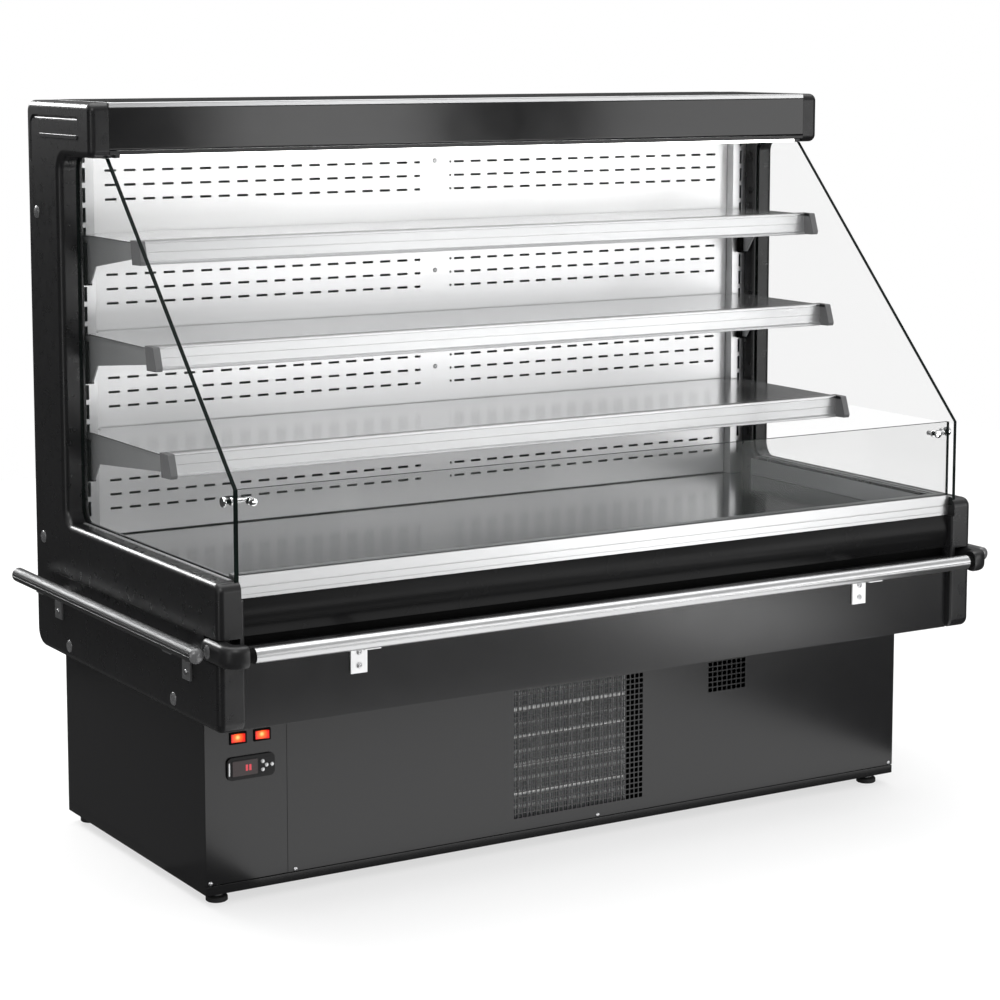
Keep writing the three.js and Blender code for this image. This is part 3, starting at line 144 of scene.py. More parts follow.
STEEL = look(
    "stainless", (0.84, 0.845, 0.85), 0.18, 0.92, vary=0.04, patch=2.2, uneven=0.08,
    stretch=BRUSHED_X, grain=(26, 0.03, 0.1))
DECK_STEEL = look(
    "stainless_deck", (0.49, 0.493, 0.497), 0.15, 1, vary=0.05, patch=2.2, uneven=0.08,
    stretch=BRUSHED_X, grain=(26, 0.015, 0.1))
STEEL_UP = look(
    "stainless_upright", (0.62, 0.623, 0.627), 0.3, 1, vary=0.04, patch=2.2, uneven=0.08,
    stretch=BRUSHED_Z, grain=(26, 0.03, 0.1))
# Back panels: stainless made lighter and more diffuse than the shelves' steel, as painted light for
# the strongly lit back of the cabinet
LIT_BACK_STEEL = look(
    "back_panel_steel_painted_light", (0.95, 0.953, 0.957), 0.33, 0.55, vary=0.03, patch=2, uneven=0.06,
    stretch=BRUSHED_X, grain=(30, 0.025, 0.1))
GREY_STEEL = look(
    "bracket_grey", (0.42, 0.425, 0.43), 0.4, 0.6, vary=0.1, patch=14, grain=(800, 0.12, 0.2))
ALU = look(
    "aluminium", (0.54, 0.543, 0.547), 0.3, 1, vary=0.03, patch=2, uneven=0.07, stretch=BRUSHED_X,
    grain=(30, 0.03, 0.1))
PLATE = look(
    "bracket_plate", (0.80, 0.802, 0.805), 0.36, 0.5, vary=0.06, patch=30, grain=(900, 0.08, 0.2))
ALU_GREY = look(
    "aluminium_grey", (0.27, 0.272, 0.275), 0.36, 0.8, vary=0.08, patch=3, grain=(900, 0.08, 0.2))
# Side bumper tubes: darker than the front bumper's aluminium, partly the tube's own grey and partly
# painted shade along the sides
SHADED_TUBE_GREY = look(
    "bumper_grey_and_painted_shade", (0.07, 0.071, 0.072), 0.42, 0.8, vary=0.08, patch=3, stretch=(45, 1, 45),
    grain=(30, 0.06, 0.2))
CAP_GREY = look("cap_grey", (0.13, 0.13, 0.133), 0.4, vary=0.1, patch=30, grain=(1500, 0.15, 0.2))
CHROME = look(
    "chrome", (0.88, 0.885, 0.89), 0.08, 1, vary=0.03, patch=20, uneven=0.4, grain=(300, 0.03, 0.1))
SCREW = look(
    "screw_steel", (0.62, 0.62, 0.63), 0.28, 1, vary=0.1, patch=200, grain=(2500, 0.2, 0.1))
GLASS = look(
    "clear_glass", (0.12, 0.135, 0.13), 0.03, vary=0.01, patch=3, uneven=0.6, grain=(8, 0.02, 0.2),
    Alpha=0.05, IOR=1.5)
FRONT_GLASS = look(
    "front_glass", (0.03, 0.036, 0.034), 0.03, vary=0.01, patch=3, uneven=0.6, grain=(8, 0.02, 0.2),
    Alpha=0.12, IOR=1.5)
GLASS_EDGE = look(
    "glass_edge", (0.002, 0.004, 0.0035), 0.4, vary=0.3, patch=12, grain=(120, 0.05, 0.2),
    tint=(0.8, 1.3, 1.15), specular=0.06)
CLEAR = look(
    "clear_plastic", (0.86, 0.87, 0.88), 0.12, vary=0.03, patch=12, grain=(60, 0.06, 0.2),
    Alpha=0.08)
BOOT = look(
    "bracket_boot", (0.003, 0.003, 0.003), 0.55, vary=0.3, patch=60, grain=(1500, 0.2, 0.2),
    specular=0.04)
ELBOW = look(
    "elbow_black", (0.0095, 0.0095, 0.010), 0.34, vary=0.2, patch=40, grain=(1400, 0.12, 0.1),
    specular=0.42)
RUBBER = look("rubber", (0.012, 0.012, 0.012), 0.7, vary=0.3, patch=60, grain=(1500, 0.4, 0.3))
DIFFUSER = look(
    "diffuser", (0.86, 0.87, 0.86), 0.45, vary=0.04, patch=8, grain=(900, 0.15, 0.2),
    Emission_Color=(1, 0.99, 0.97, 1), Emission_Strength=6.5)
CAP_BLACK = look(
    "cap_black", (0.085, 0.085, 0.087), 0.24, vary=0.2, patch=60, grain=(1500, 0.1, 0.1),
    specular=0.8)
FINS = look("coil_fins", (0.32, 0.323, 0.327), 0.42, 0.5, vary=0.2, patch=14, grain=(500, 0.3, 0.3))
COPPER = look(
    "coil_tube", (0.70, 0.695, 0.69), 0.38, 0.5, vary=0.1, patch=30, grain=(500, 0.1, 0.2))
SILVER = look(
    "silver_key", (0.55, 0.555, 0.56), 0.3, 0.6, vary=0.1, patch=80, grain=(2500, 0.15, 0.1))
WINDOW = look(
    "display_window", (0.016, 0.006, 0.006), 0.12, vary=0.3, patch=60, grain=(900, 0.05, 0.1))
DIGIT = look(
    "display_light", (0.3, 0.02, 0.03), 0.4, vary=0.3, patch=400,
    Emission_Color=(0.9, 0.05, 0.08, 1), Emission_Strength=0.45)
BEZEL = look(
    "controller_bezel", (0.005, 0.005, 0.0053), 0.34, vary=0.15, patch=60, grain=(2000, 0.1, 0.1),
    specular=0.22)


def glowing(name, edge, middle, heart, centre, reach, strength):
    """Lit plastic, brightest round a lamp behind it at a place in millimetres."""
    material = look(name, edge, 0.22, vary=0.2, patch=120, grain=(1500, 0.08, 0.1))
    tree = material.node_tree
    link = tree.links.new
    bsdf = tree.nodes["Principled BSDF"]
    put(bsdf, Emission_Strength=strength)
    away = add(tree, "VectorMath", "operation", "DISTANCE")
    away.inputs[1].default_value = [c * MM for c in centre]
    link(add(tree, "TexCoord").outputs["Object"], away.inputs[0])
    share = add(tree, "MapRange", From_Max=reach * MM)
    link(away.outputs["Value"], share.inputs["Value"])
    ramp = add(tree, "ValToRGB")
    stops = ramp.color_ramp.elements
    stops.new(0.45)
    for stop, color in zip(stops, (heart, middle, edge)):
        stop.color = (*color, 1)
    link(share.outputs["Result"], ramp.inputs["Fac"])
    link(ramp.outputs["Color"], bsdf.inputs["Emission Color"])
    return material


# ---- shapes


def place(axis, u, v, w):
    """Point from an outline's two coordinates and the distance along the axis."""
    return {"x": (w, u, v), "y": (v, w, u), "z": (u, v, w)}[axis]


def angles(low, high, steps):
    """Angles in radians, evenly from one to another given in degrees."""
    return [radians(low + (high - low) * k / steps) for k in range(steps + 1)]


def both(side, a, b):
    """A span of x on the right, or the same one mirrored to the left."""
    return (a, b) if side > 0 else (-b, -a)


def oblong(u, v, *radius):
    """Corners of a rectangle between two spans, with one rounding for all if it is given."""
    return [[a, b, *radius] for a, b in ((u[0], v[0]), (u[1], v[0]), (u[1], v[1]), (u[0], v[1]))]


class Shape:
    """Closed shells gathered into one piece."""

    def __init__(self):
        self.verts = []
        self.faces = []
        self.looks = []

    def shell(self, verts, faces, look_index=0):
        base = len(self.verts)
        self.verts += [tuple(v) for v in verts]
        self.faces += [[base + i for i in face] for face in faces]
        self.looks += [look_index] * len(faces)
        return self

    def prism(self, axis, points, low, high, look_index=0):
        n = len(points)
        verts = [place(axis, u, v, w) for w in (low, high) for u, v in points]
        faces = [list(range(n))[::-1], list(range(n, 2 * n))]
        faces += [[i, (i + 1) % n, n + (i + 1) % n, n + i] for i in range(n)]
        return self.shell(verts, faces, look_index)

    def box(self, x, y, z, look_index=0):
        return self.prism("x", oblong(y, z), min(x), max(x), look_index)

    def lathe(self, axis, centre, profile, sides=32, look_index=0, way=1):
        """Turned shell; profile is [(radius, distance along the axis, times way), ...]."""
        verts, rings = [], []
        for radius, along in profile:
            count = sides if radius else 1
            rings.append(range(len(verts), len(verts) + count))
            for k in range(count):
                t = 2 * pi * k / sides
                verts.append(place(axis, radius * cos(t), radius * sin(t), way * along))
        verts = [tuple(a + b for a, b in zip(v, centre)) for v in verts]
        faces = []
        for a, b in zip(rings, rings[1:]):
            for k in range(sides):
                m = (k + 1) % sides
                if len(a) == 1:
                    faces.append([a[0], b[k], b[m]])
                elif len(b) == 1:
                    faces.append([a[k], b[0], a[m]])
                else:
                    faces.append([a[k], b[k], b[m], a[m]])
        return self.shell(verts, faces, look_index)

    def rings(self, loops, look_index=0):
        """Shell through closed loops of equal length, capped at both ends."""
        n = len(loops[0])
        verts = [v for loop in loops for v in loop]
        faces = [list(range(n))[::-1], list(range(len(verts) - n, len(verts)))]
        for r in range(len(loops) - 1):
            a, b = r * n, (r + 1) * n
            faces += [[a + i, a + (i + 1) % n, b + (i + 1) % n, b + i] for i in range(n)]
        return self.shell(verts, faces, look_index)

    def sweep(self, path, radii, sides, look_index=0, tall=1, square=1):
        """Bar along a bent path that lies in one plane, with a radius for each point. tall
        stretches its section across the plane, and square below one fills out its corners."""
        def full(value):
            return copysign(abs(value) ** square, value)

        points = [Vector(p) for p in path]
        across = (points[1] - points[0]).cross(points[-1] - points[0]).normalized()
        turn = [2 * pi * k / sides for k in range(sides)]
        loops = []
        for i, (p, radius) in enumerate(zip(points, radii)):
            before, after = points[max(i - 1, 0)], points[min(i + 1, len(points) - 1)]
            out = (after - before).normalized().cross(across).normalized()
            loops.append([p + radius * (tall * full(cos(t)) * across + full(sin(t)) * out)
                          for t in turn])
        return self.rings(loops, look_index)


def rounded(corners, inset=0, steps=6):
    """Outline of [u, v, radius] corners, moved in by inset, with its corners as arcs."""
    nexts = corners[1:] + corners[:1]
    hand = copysign(1, sum(a[0] * b[1] - b[0] * a[1] for a, b in zip(corners, nexts)))
    points = []
    for i, (u, v, *rest) in enumerate(corners):
        radius = rest[0] if rest else 0
        here = Vector((u, v))
        back = (Vector(corners[i - 1][:2]) - here).normalized()
        ahead = (Vector(nexts[i][:2]) - here).normalized()
        turn = hand * (back.x * ahead.y - back.y * ahead.x)
        half = acos(max(-1, min(1, back.dot(ahead)))) / 2
        inward = (back + ahead).normalized() * (1 if turn < 0 else -1)
        here = here + inward * (inset / sin(half))
        if not radius:
            points.append(here)
            continue
        r = radius + copysign(inset, turn)
        centre = here + (back + ahead).normalized() * (r / sin(half))
        start = here + back * (r / tan(half)) - centre
        sweep = pi - 2 * half
        spin = -hand * copysign(1, turn)
        for k in range(steps + 1):
            a = spin * sweep * k / steps
            points.append(centre + Vector((start.x * cos(a) - start.y * sin(a),
                                           start.x * sin(a) + start.y * cos(a))))
    return [tuple(p) for p in points]


def bent(path, thickness):
    """Section of a bent sheet: path is one face, and the metal lies to the left of its run."""
    points = [Vector(p) for p in path]

    def normal(a, b):
        run = (b - a).normalized()
        return Vector((-run.y, run.x))

    offset = []
    for i, point in enumerate(points):
        before = normal(points[i - 1], point) if i else normal(point, points[1])
        after = normal(point, points[i + 1]) if i < len(points) - 1 else before
        mitre = (before + after).normalized()
        offset.append(point + mitre * (thickness / mitre.dot(after)))
    return [tuple(p) for p in points + offset[::-1]]


CAD_MERGE, MESH_MERGE = 2e-6, 1e-7    # in metres: points nearer than this are one
FLAT_WITHIN = radians(0.6)


def cad_shape(node):
    """A CAD node's own shape with its flat faces whole again."""
    bm = bmesh.new()
    bm.from_mesh(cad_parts[node].data)
    bmesh.ops.remove_doubles(bm, verts=bm.verts, dist=CAD_MERGE)
    bmesh.ops.dissolve_limit(bm, angle_limit=FLAT_WITHIN, verts=bm.verts, edges=bm.edges)
    bm.verts.index_update()
    shape = Shape().shell([v.co / MM for v in bm.verts],
                          [[v.index for v in f.verts] for f in bm.faces])
    bm.free()
    return shape


def repaint(shape, look_index, wanted):
    """Give another look to the faces whose corners pass a test."""
    for f, face in enumerate(shape.faces):
        if wanted([shape.verts[i] for i in face]):
            shape.looks[f] = look_index


def rod(radius, low, high):
    """Profile of a plain rod for Shape.lathe."""
    return [(0, low), (radius, low), (radius, high), (0, high)]


def linked(name, data):
    """A new object of the scene that holds the data."""
    obj = bpy.data.objects.new(name, data)
    bpy.context.scene.collection.objects.link(obj)
    return obj


def make_object(name, shape):
    """The shape as a mesh object, its points joined and its faces turned outwards."""
    mesh = bpy.data.meshes.new(name)
    mesh.from_pydata([[c * MM for c in v] for v in shape.verts], [], shape.faces)
    mesh.polygons.foreach_set("material_index", shape.looks)
    bm = bmesh.new()
    bm.from_mesh(mesh)
    bmesh.ops.remove_doubles(bm, verts=bm.verts, dist=MESH_MERGE)
    bmesh.ops.recalc_face_normals(bm, faces=bm.faces)
    bm.to_mesh(mesh)
    bm.free()
    return linked(name, mesh)


def bake_modifiers(obj):
    graph = bpy.context.evaluated_depsgraph_get()
    fresh = bpy.data.meshes.new_from_object(obj.evaluated_get(graph))
    old = obj.data
    obj.modifiers.clear()
    obj.data = fresh
    bpy.data.meshes.remove(old)


def carve(obj, cutters):
    """Take each cutter shape out of the object."""
    tools = [make_object("cutter", cutter) for cutter in cutters]
    for tool in tools:
        step = obj.modifiers.new("carve", "BOOLEAN")
        step.operation = "DIFFERENCE"
        step.solver = "EXACT"
        step.object = tool
    bake_modifiers(obj)
    for tool in tools:
        mesh = tool.data
        bpy.data.objects.remove(tool)
        bpy.data.meshes.remove(mesh)


def made(name, shape, looks, stands_for=None, body="cabinet", slot=None, edge=0, angle=35,
         segments=2, cut=(), edge_look=-1):
    """A finished piece: meshed, carved, edged, shaded, and tied to its body. Its slot argument is
    not used."""
    looks = looks if isinstance(looks, list) else [looks]
    obj = make_object(name, shape)
    for material in looks:
        obj.data.materials.append(material)
    if cut:
        carve(obj, cut)
    if edge:
        soft = obj.modifiers.new("edge", "BEVEL")
        soft.width = edge * MM
        soft.segments = segments
        soft.limit_method = "ANGLE"
        soft.angle_limit = radians(angle)
        soft.use_clamp_overlap = True
        soft.material = edge_look
        bake_modifiers(obj)
    obj.data.shade_smooth()
    obj.data.set_sharp_from_angle(angle=radians(angle))
    # Broad flat faces keep flat shading up to their eased edges
    flat = obj.modifiers.new("flat", "WEIGHTED_NORMAL")
    flat.mode = "FACE_AREA"
    flat.weight = 90
    flat.keep_sharp = True
    bake_modifiers(obj)
    if stands_for:
        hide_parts(stands_for)
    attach(obj, body)


def finished(node, shape, looks, body="cabinet", **finish):
    """A piece that stands for the CAD node of its name."""
    made(f"{node}_finished", shape, looks, node, body, **finish)


def refined(node, material, body="cabinet", edge=0.5, **finish):
    """A CAD node with whole faces, eased edges and its finish."""
    finished(node, cad_shape(node), material, body, edge=edge, **finish)


# A pan head's outline with its driver recess, as shares of its radius and height
PAN_HEAD = [(0, 0.35), (0.28, 0.35), (0.36, 1), (0.6, 0.95), (0.86, 0.7), (1, 0.3),
            (1, 0), (0, 0)]


def screw(shape, centre, radius, height, look_index=0, axis="y", way=-1):
    """Pan head screw standing on centre and looking along the axis."""
    points = [(radius * r, height * a) for r, a in PAN_HEAD]
    shape.lathe(axis, centre, points, 20, look_index, way)


# ---- end panels

END_CORNERS = [
    [BACK, BODY_BOTTOM, 28], [BACK, HEIGHT, 18], [CANOPY_FRONT, HEIGHT, 12],
    [CANOPY_FRONT, ARM_BOTTOM, 12], [COLUMN_FRONT, ARM_BOTTOM, 22], [COLUMN_FRONT, LEDGE, 22],
    [NOSE, LEDGE, 14], [NOSE, BODY_BOTTOM, 14],
]
RIM, INNER_RIM = 10, 4              # roundings of the outer and the inner edge
NOTCH_FRONT_X, NOTCH_SIDE_X = INNER + 7, 646.7
NOTCH_FRONT_BACK, NOTCH_SIDE_BACK, NOTCH_HALF = -290, -261.7, 17.5
GROOVE_Y, GROOVE_Z, GROOVE_BEND, GROOVE_R = (150, 332), (1040, 1109), 12, 3.4
BAR_Y, BAR_Z, BAR_R, BAR_OUT = (149, 295), (1078, 1084.5), 2.8, 1.6
CAP_PLACES = [(314, 964), (314, 463), (219, 309), (-159, 308)]
CAP_PROFILE = [(0, 3), (4, 2.85), (7, 2.3), (9, 1.2), (9.8, 0), (9.8, -1), (0, -1)]
LEDGE_BACK = 226


def end_seats(side):
    """Room in an end panel for the fascia, the glass, the front profile and the elbow."""
    notch_z = (BUMPER_Z - NOTCH_HALF, BUMPER_Z + NOTCH_HALF)
    half_glass = GLASS_T / 2 + GAP
    spans = [
        ((INNER - PAST, FASCIA_X + GAP), (CANOPY_FRONT - PAST, CANOPY_FRONT + FASCIA_T + GAP),
         (ARM_BOTTOM - PAST, HEIGHT + PAST)),
        ((GLASS_X - half_glass, GLASS_X + half_glass), (GLASS_Y - GAP, COLUMN_FRONT + 5),
         (LEDGE - 12, ARM_BOTTOM)),
        ((INNER - PAST, PROFILE_X + GAP), (NOSE - PAST, PROFILE_FACE + PROFILE_D + GAP),
         (PROFILE_TOP - PROFILE_H - GAP, LEDGE + PAST)),
        ((NOTCH_FRONT_X, OUTER + PAST), (NOSE - PAST, NOTCH_FRONT_BACK), notch_z),
        ((NOTCH_SIDE_X, OUTER + PAST), (NOSE - PAST, NOTCH_SIDE_BACK), notch_z),
        # A fine groove along the ledge, inside the glass
        ((INNER + 2.6, INNER + 3.8), (-300, LEDGE_BACK), (LEDGE - 1.4, LEDGE + PAST)),
    ]
    return [Shape().box(both(side, *x), y, z) for x, y, z in spans]


def contour_groove(side):
    """Groove near the arm's top, round a bend and some way down the column."""
    x, (front, back), (low, top) = side * (OUTER + 0.6), GROOVE_Y, GROOVE_Z
    path = [(x, front, top)]
    path += [(x, back - GROOVE_BEND * (1 - sin(t)), top - GROOVE_BEND * (1 - cos(t)))
             for t in angles(0, 90, 6)]
    path.append((x, back, low))
    return Shape().sweep(path, [GROOVE_R] * len(path), 12)


def bumper_channel(side):
    """Long shallow channel behind the side bumper, running out towards the back."""
    def loop(front, back, low, top):
        return [(side * x, y, z) for (x, y), z in ((front, low), (front, top), (back, top),
                                                   (back, low))]

    mouth = loop((OUTER + PAST, -240), (OUTER + PAST, 290), 384, 419)
    floor = loop((OUTER - 3.2, -236), (OUTER - 0.2, 270), 389, 414)
    return Shape().rings([mouth, floor])


def end_panel(end, side):
    def loop(x, inset):
        return [(side * x, y, z) for y, z in rounded(END_CORNERS, inset, 10)]

    loops = [loop(INNER + INNER_RIM * (1 - sin(t)), INNER_RIM * (1 - cos(t)))
             for t in angles(90, 0, 4)]
    loops += [loop(OUTER - RIM * (1 - sin(t)), RIM * (1 - cos(t))) for t in angles(0, 90, 7)]
    cutters = [*end_seats(side), contour_groove(side), bumper_channel(side)]
    made(f"end_moulding_{end}", Shape().rings(loops), MOULDING, f"end_panel_{end}", cut=cutters,
         edge=0.8, angle=32)
    # Raised bar on the arm
    bar = Shape().prism("x", rounded(oblong(BAR_Y, BAR_Z, BAR_R)),
                        *both(side, OUTER - 0.5, OUTER + BAR_OUT))
    made(f"end_bar_{end}", bar, MOULDING, edge=0.8, segments=3)
    # Round covers over the panel's fixings
    caps = Shape()
    for y, z in CAP_PLACES:
        caps.lathe("x", (side * OUTER, y, z), CAP_PROFILE, way=side)
    made(f"end_fixing_caps_{end}", caps, CAP_BLACK, slot="black_plastic")


def ledge_lining(end, side):
    """Thin steel beside the deck, and a low strip each side of the glass's foot."""
    on_ledge = (LEDGE - 1.5, LEDGE + 0.9)
    shape = Shape()
    for x, y, z in (((INNER - 0.7, INNER - 0.1), (-262, LEDGE_BACK), (DECK_Z + 0.4, LEDGE - 4.5)),
                    ((INNER + 2.4, GLASS_X - 3.6), (-285, LEDGE_BACK - 2), on_ledge),
                    ((GLASS_X + 3.6, GLASS_X + 9), (-292, LEDGE_BACK - 2), on_ledge)):
        shape.box(both(side, *x), y, z)
    made(f"ledge_lining_{end}", shape, GREY_STEEL, slot="stainless", edge=0.3)


for end, side in SIDES.items():
    end_panel(end, side)
    ledge_lining(end, side)

# ---- body, roof, canopy

REAR_SEAMS, SEAM_W, SEAM_DEPTH = (-208, 208), 2.4, 1.5


def foamed_body():
    seams = [Shape().box((x - SEAM_W / 2, x + SEAM_W / 2), (BACK - SEAM_DEPTH, BACK + PAST),
                         (300, 1100)) for x in REAR_SEAMS]
    finished("insulated_body", cad_shape("insulated_body"), FOAMED, cut=seams, edge=0.6)


foamed_body()
refined("roof_panel", SATIN, slot="dark_paint")


def fascia():
    front, back = CANOPY_FRONT, CANOPY_FRONT + FASCIA_T
    outline = rounded([[front, RETURN_Z, 3.2], [back, RETURN_Z, 0.4], [back, FASCIA_TOP, 0.4],
                       [front, FASCIA_TOP, 1.2]], steps=8)
    shape = Shape().prism("x", outline, -FASCIA_X, FASCIA_X)
    shape.box((-BETWEEN, BETWEEN), (front + 4, front + 34), (RETURN_Z, RETURN_Z + 3))
    finished("canopy_fascia", shape, SATIN, slot="black_paint")


def trim():
    front, back = CANOPY_FRONT, CANOPY_FRONT + FASCIA_T
    outline = rounded([[front, FASCIA_TOP + GAP, 0.5], [back, FASCIA_TOP + GAP],
                       [back, HEIGHT, 0.3], [front, HEIGHT, 1.8]])
    shape = Shape().prism("x", outline, -FASCIA_X, FASCIA_X)
    shape.box((-BETWEEN, BETWEEN), (front + 3, front + 18), (ROOF_TOP + GAP, HEIGHT))
    finished("canopy_trim", shape, ALU, edge=0.2)


def lamp():
    front, back, rear = CANOPY_FRONT, CANOPY_FRONT + FASCIA_T, CANOPY_FRONT + 24
    low, top, lens_x = ARM_BOTTOM + GAP, RETURN_Z - GAP, 617
    lip = rounded([[front, top], [front, low + 4.5, 2], [back, low + 4.5], [back, top]])
    shape = Shape().prism("x", lip, -FASCIA_X, FASCIA_X, 1)
    ends = rounded([[front + 1, low + 5], [front + 1, low, 1.4], [rear, low, 5], [rear, top],
                    [back, top]])
    for side in SIDES.values():
        shape.prism("x", ends, *both(side, lens_x, BETWEEN), 1)
    lens = rounded([[front + 2, low + 5], [front + 2, low, 1.4], [rear, low, 5],
                    [rear, top - 2.5], [back + 2, top - 2.5], [back + 2, low + 5]])
    shape.prism("x", lens, -lens_x, lens_x)
    # Black carrier between the lip and the lens keeps their joint dark
    shape.box((-FASCIA_X, FASCIA_X), (back - 0.1, back + 2), (low + 5, top), 1)
    made("canopy_lamp_lens", shape, [DIFFUSER, PLASTIC], "canopy_lamp")


fascia()
trim()
lamp()
refined("air_outlet_grille", PLASTIC, edge=0.3)

# ---- back panels and uprights

SLOT_TOPS = (1026, 867, 708, 549)  # first row of each group
ROW_PITCH, ROWS = 22, 3
SLOT_L, SLOT_T, SLOT_PITCH, SLOT_COUNT, FIRST_SLOT_X = 19.5, 3.8, 31.8, 17, 562.5
SHORT_SLOTS = {"left": (-25.5, 11), "right": (37, 4)}  # middle and length of the last
BACK_X = 597


def openings(centres, width):
    """Spans of openings of that width round each centre."""
    return [(c - width / 2, c + width / 2) for c in centres]


def punched(shape, x, z, across, up, y, corner):
    """Sheet with openings where a span across meets a span up; corner is the rounding as a
    share of an opening's lesser side."""
    xs, zs = (sorted({*limits, *[end for span in spans for end in span]})
              for limits, spans in ((x, across), (z, up)))
    index, verts, faces = {}, [], []

    def vertex(x, z, y):
        key = (round(x, 4), y, round(z, 4))
        if key not in index:
            index[key] = len(verts)
            verts.append((x, y, z))
        return index[key]

    def wall(a, b):
        faces.append([vertex(*a, y[0]), vertex(*b, y[0]), vertex(*b, y[1]), vertex(*a, y[1])])

    def is_open(lines, i, spans):
        middle = (lines[i] + lines[i + 1]) / 2
        return any(low < middle < high for low, high in spans)

    def rounding(x0, x1, z0, z1):
        r = min(x1 - x0, z1 - z0) * corner
        s = 0.3 * r
        return [(x0, z0 + r), (x0 + s, z0 + s), (x0 + r, z0), (x1 - r, z0), (x1 - s, z0 + s),
                (x1, z0 + r), (x1, z1 - r), (x1 - s, z1 - s), (x1 - r, z1), (x0 + r, z1),
                (x0 + s, z1 - s), (x0, z1 - r)]

    for i, (x0, x1) in enumerate(zip(xs, xs[1:])):
        for j, (z0, z1) in enumerate(zip(zs, zs[1:])):
            corners = oblong((x0, x1), (z0, z1))
            if not (is_open(xs, i, across) and is_open(zs, j, up)):
                for level in y:
                    faces.append([vertex(*c, level) for c in corners])
                continue
            ring = rounding(x0, x1, z0, z1)
            for level in y:
                for k, c in enumerate(corners):
                    for n in (3 * k, 3 * k + 1):
                        faces.append([vertex(*p, level) for p in (c, ring[n], ring[n + 1])])
            for a, b in zip(ring, ring[1:] + ring[:1]):
                wall(a, b)
    for line in ([(x, zs[0]) for x in xs], [(x, zs[-1]) for x in xs],
                 [(xs[0], z) for z in zs], [(xs[-1], z) for z in zs]):
        for a, b in zip(line, line[1:]):
            wall(a, b)
    shape.shell(verts, faces)


def back_panel(end, side):
    columns = [side * (FIRST_SLOT_X - SLOT_PITCH * k) for k in range(SLOT_COUNT)]
    short, short_l = SHORT_SLOTS[end]
    rows = [z - ROW_PITCH * k for z in SLOT_TOPS for k in range(ROWS)]
    x, z = both(side, 0.02, BACK_X), (DECK_Z + 2, BACK_TOP)
    rear = PANEL_FACE + SHEET
    shape = Shape()
    punched(shape, x, z, openings(columns, SLOT_L) + openings([short], short_l),
            openings(rows, SLOT_T), (PANEL_FACE, rear), 0.32)
    for flange in (x[0], x[1] - SHEET):
        shape.box((flange, flange + SHEET), (rear, WALL_FACE - GAP), z)
    made(f"slotted_back_{end}", shape, LIT_BACK_STEEL, f"back_panel_{end}", slot="stainless", angle=30)


for end, side in SIDES.items():
    back_panel(end, side)
    refined(f"upright_{end}", STEEL_UP, slot="stainless", edge=0.35)

back_screws = Shape()
for z in (1028, 849, 690):
    screw(back_screws, (7.5, PANEL_FACE, z), 3.8, 1.8)
made("back_panel_screws", back_screws, SCREW, slot="chrome")

refined("deck_pan", DECK_STEEL, slot="stainless", edge=0.3)

# ---- shelves

# The price rail's section: steps out of its face and down from its top
RAIL_SECTION = [
    (RAIL_D, 0), (-1.6, 0), (-2, -1.2), (-2, -2.8), (1, -3.2), (1, -4.6), (0, -5),
    (0, -17.2), (1, -17.5), (1, -18.3), (0, -18.6), (0, 5.2 - RAIL_H), (-1, 4.6 - RAIL_H),
    (-3.4, 3 - RAIL_H), (-3.8, 0.8 - RAIL_H), (-3, -RAIL_H), (6.5, -RAIL_H), (6.5, 2 - RAIL_H),
    (2, 2 - RAIL_H), (2, -2), (RAIL_D, -2)]
BRACKET_X, BRACKET_HALF = 614, 1.6


def shelf(level, top, tip):
    body = f"shelf_set_{level}"
    rear = tip + RAIL_BACK
    face = rear - RAIL_D
    upper = top + GAP + 2
    lower = upper - RAIL_H
    inside = SHELF_X - CAP_W
    refined(f"shelf_{level}", STEEL, body, edge=0.3)
    section = [(face + out, upper + up) for out, up in RAIL_SECTION]
    rail = Shape().prism("x", section, -inside - 0.5, inside + 0.5)
    made(f"price_rail_{level}_face", rail, ALU, f"price_rail_{level}", body, angle=25)
    wedge = rounded([[rear, upper, 0.6], [tip + 10.5, upper, 2], [tip, lower + 6, 3],
                     [tip + 2, lower + 1, 1], [rear - 6, lower, 0.6]], steps=5)
    lid = rounded([[rear - 1, upper - 5, 0.5], [tip + 11.2, upper - 5, 0.5],
                   [tip + 12, upper - 0.05, 1], [rear - 1, upper - 0.05, 0.5]])
    caps = Shape()
    for side in SIDES.values():
        caps.prism("x", wedge, *both(side, inside, SHELF_X))
        caps.prism("x", lid, *both(side, inside - 0.3, SHELF_X - 0.02), 1)
    made(f"price_rail_{level}_caps", caps, [CAP_GREY, PLASTIC], slot="black_plastic", body=body,
         edge=0.5)
    strip = Shape().prism("x", [(face - 2.2, upper - 3.8), (face - 3.2, upper - 3.8),
                                (face - 5.4, lower + 1.2), (face - 4.2, lower + 1.2)],
                          -inside + 0.5, inside - 0.5)
    made(f"label_strip_{level}", strip, CLEAR, slot="clear_glass", body=body)
    for end in SIDES:
        node = f"bracket_{level}_{end}"
        shape = cad_shape(node)
        # The moulded boot is the part near the upright, wider than the plate
        repaint(shape, 1, lambda points: max(abs(abs(p[0]) - BRACKET_X) for p in points)
                > BRACKET_HALF)
        finished(node, shape, [GREY_STEEL, BOOT], body, slot="stainless", edge=0.4)


for level, (top, tip) in SHELVES.items():
    shelf(level, top, tip)

# ---- glass


def pane(name, node, glass, thin_axis):
    """A pane whose narrow faces have the dark look of cut glass."""
    def is_rim(points):
        a, b, c = (Vector(p) for p in points[:3])
        return abs((b - a).cross(c - a).normalized()[thin_axis]) < 0.9

    shape = cad_shape(node)
    repaint(shape, 1, is_rim)
    made(name, shape, [glass, GLASS_EDGE], node, slot="clear_glass", edge=0.7, segments=1,
         edge_look=1)


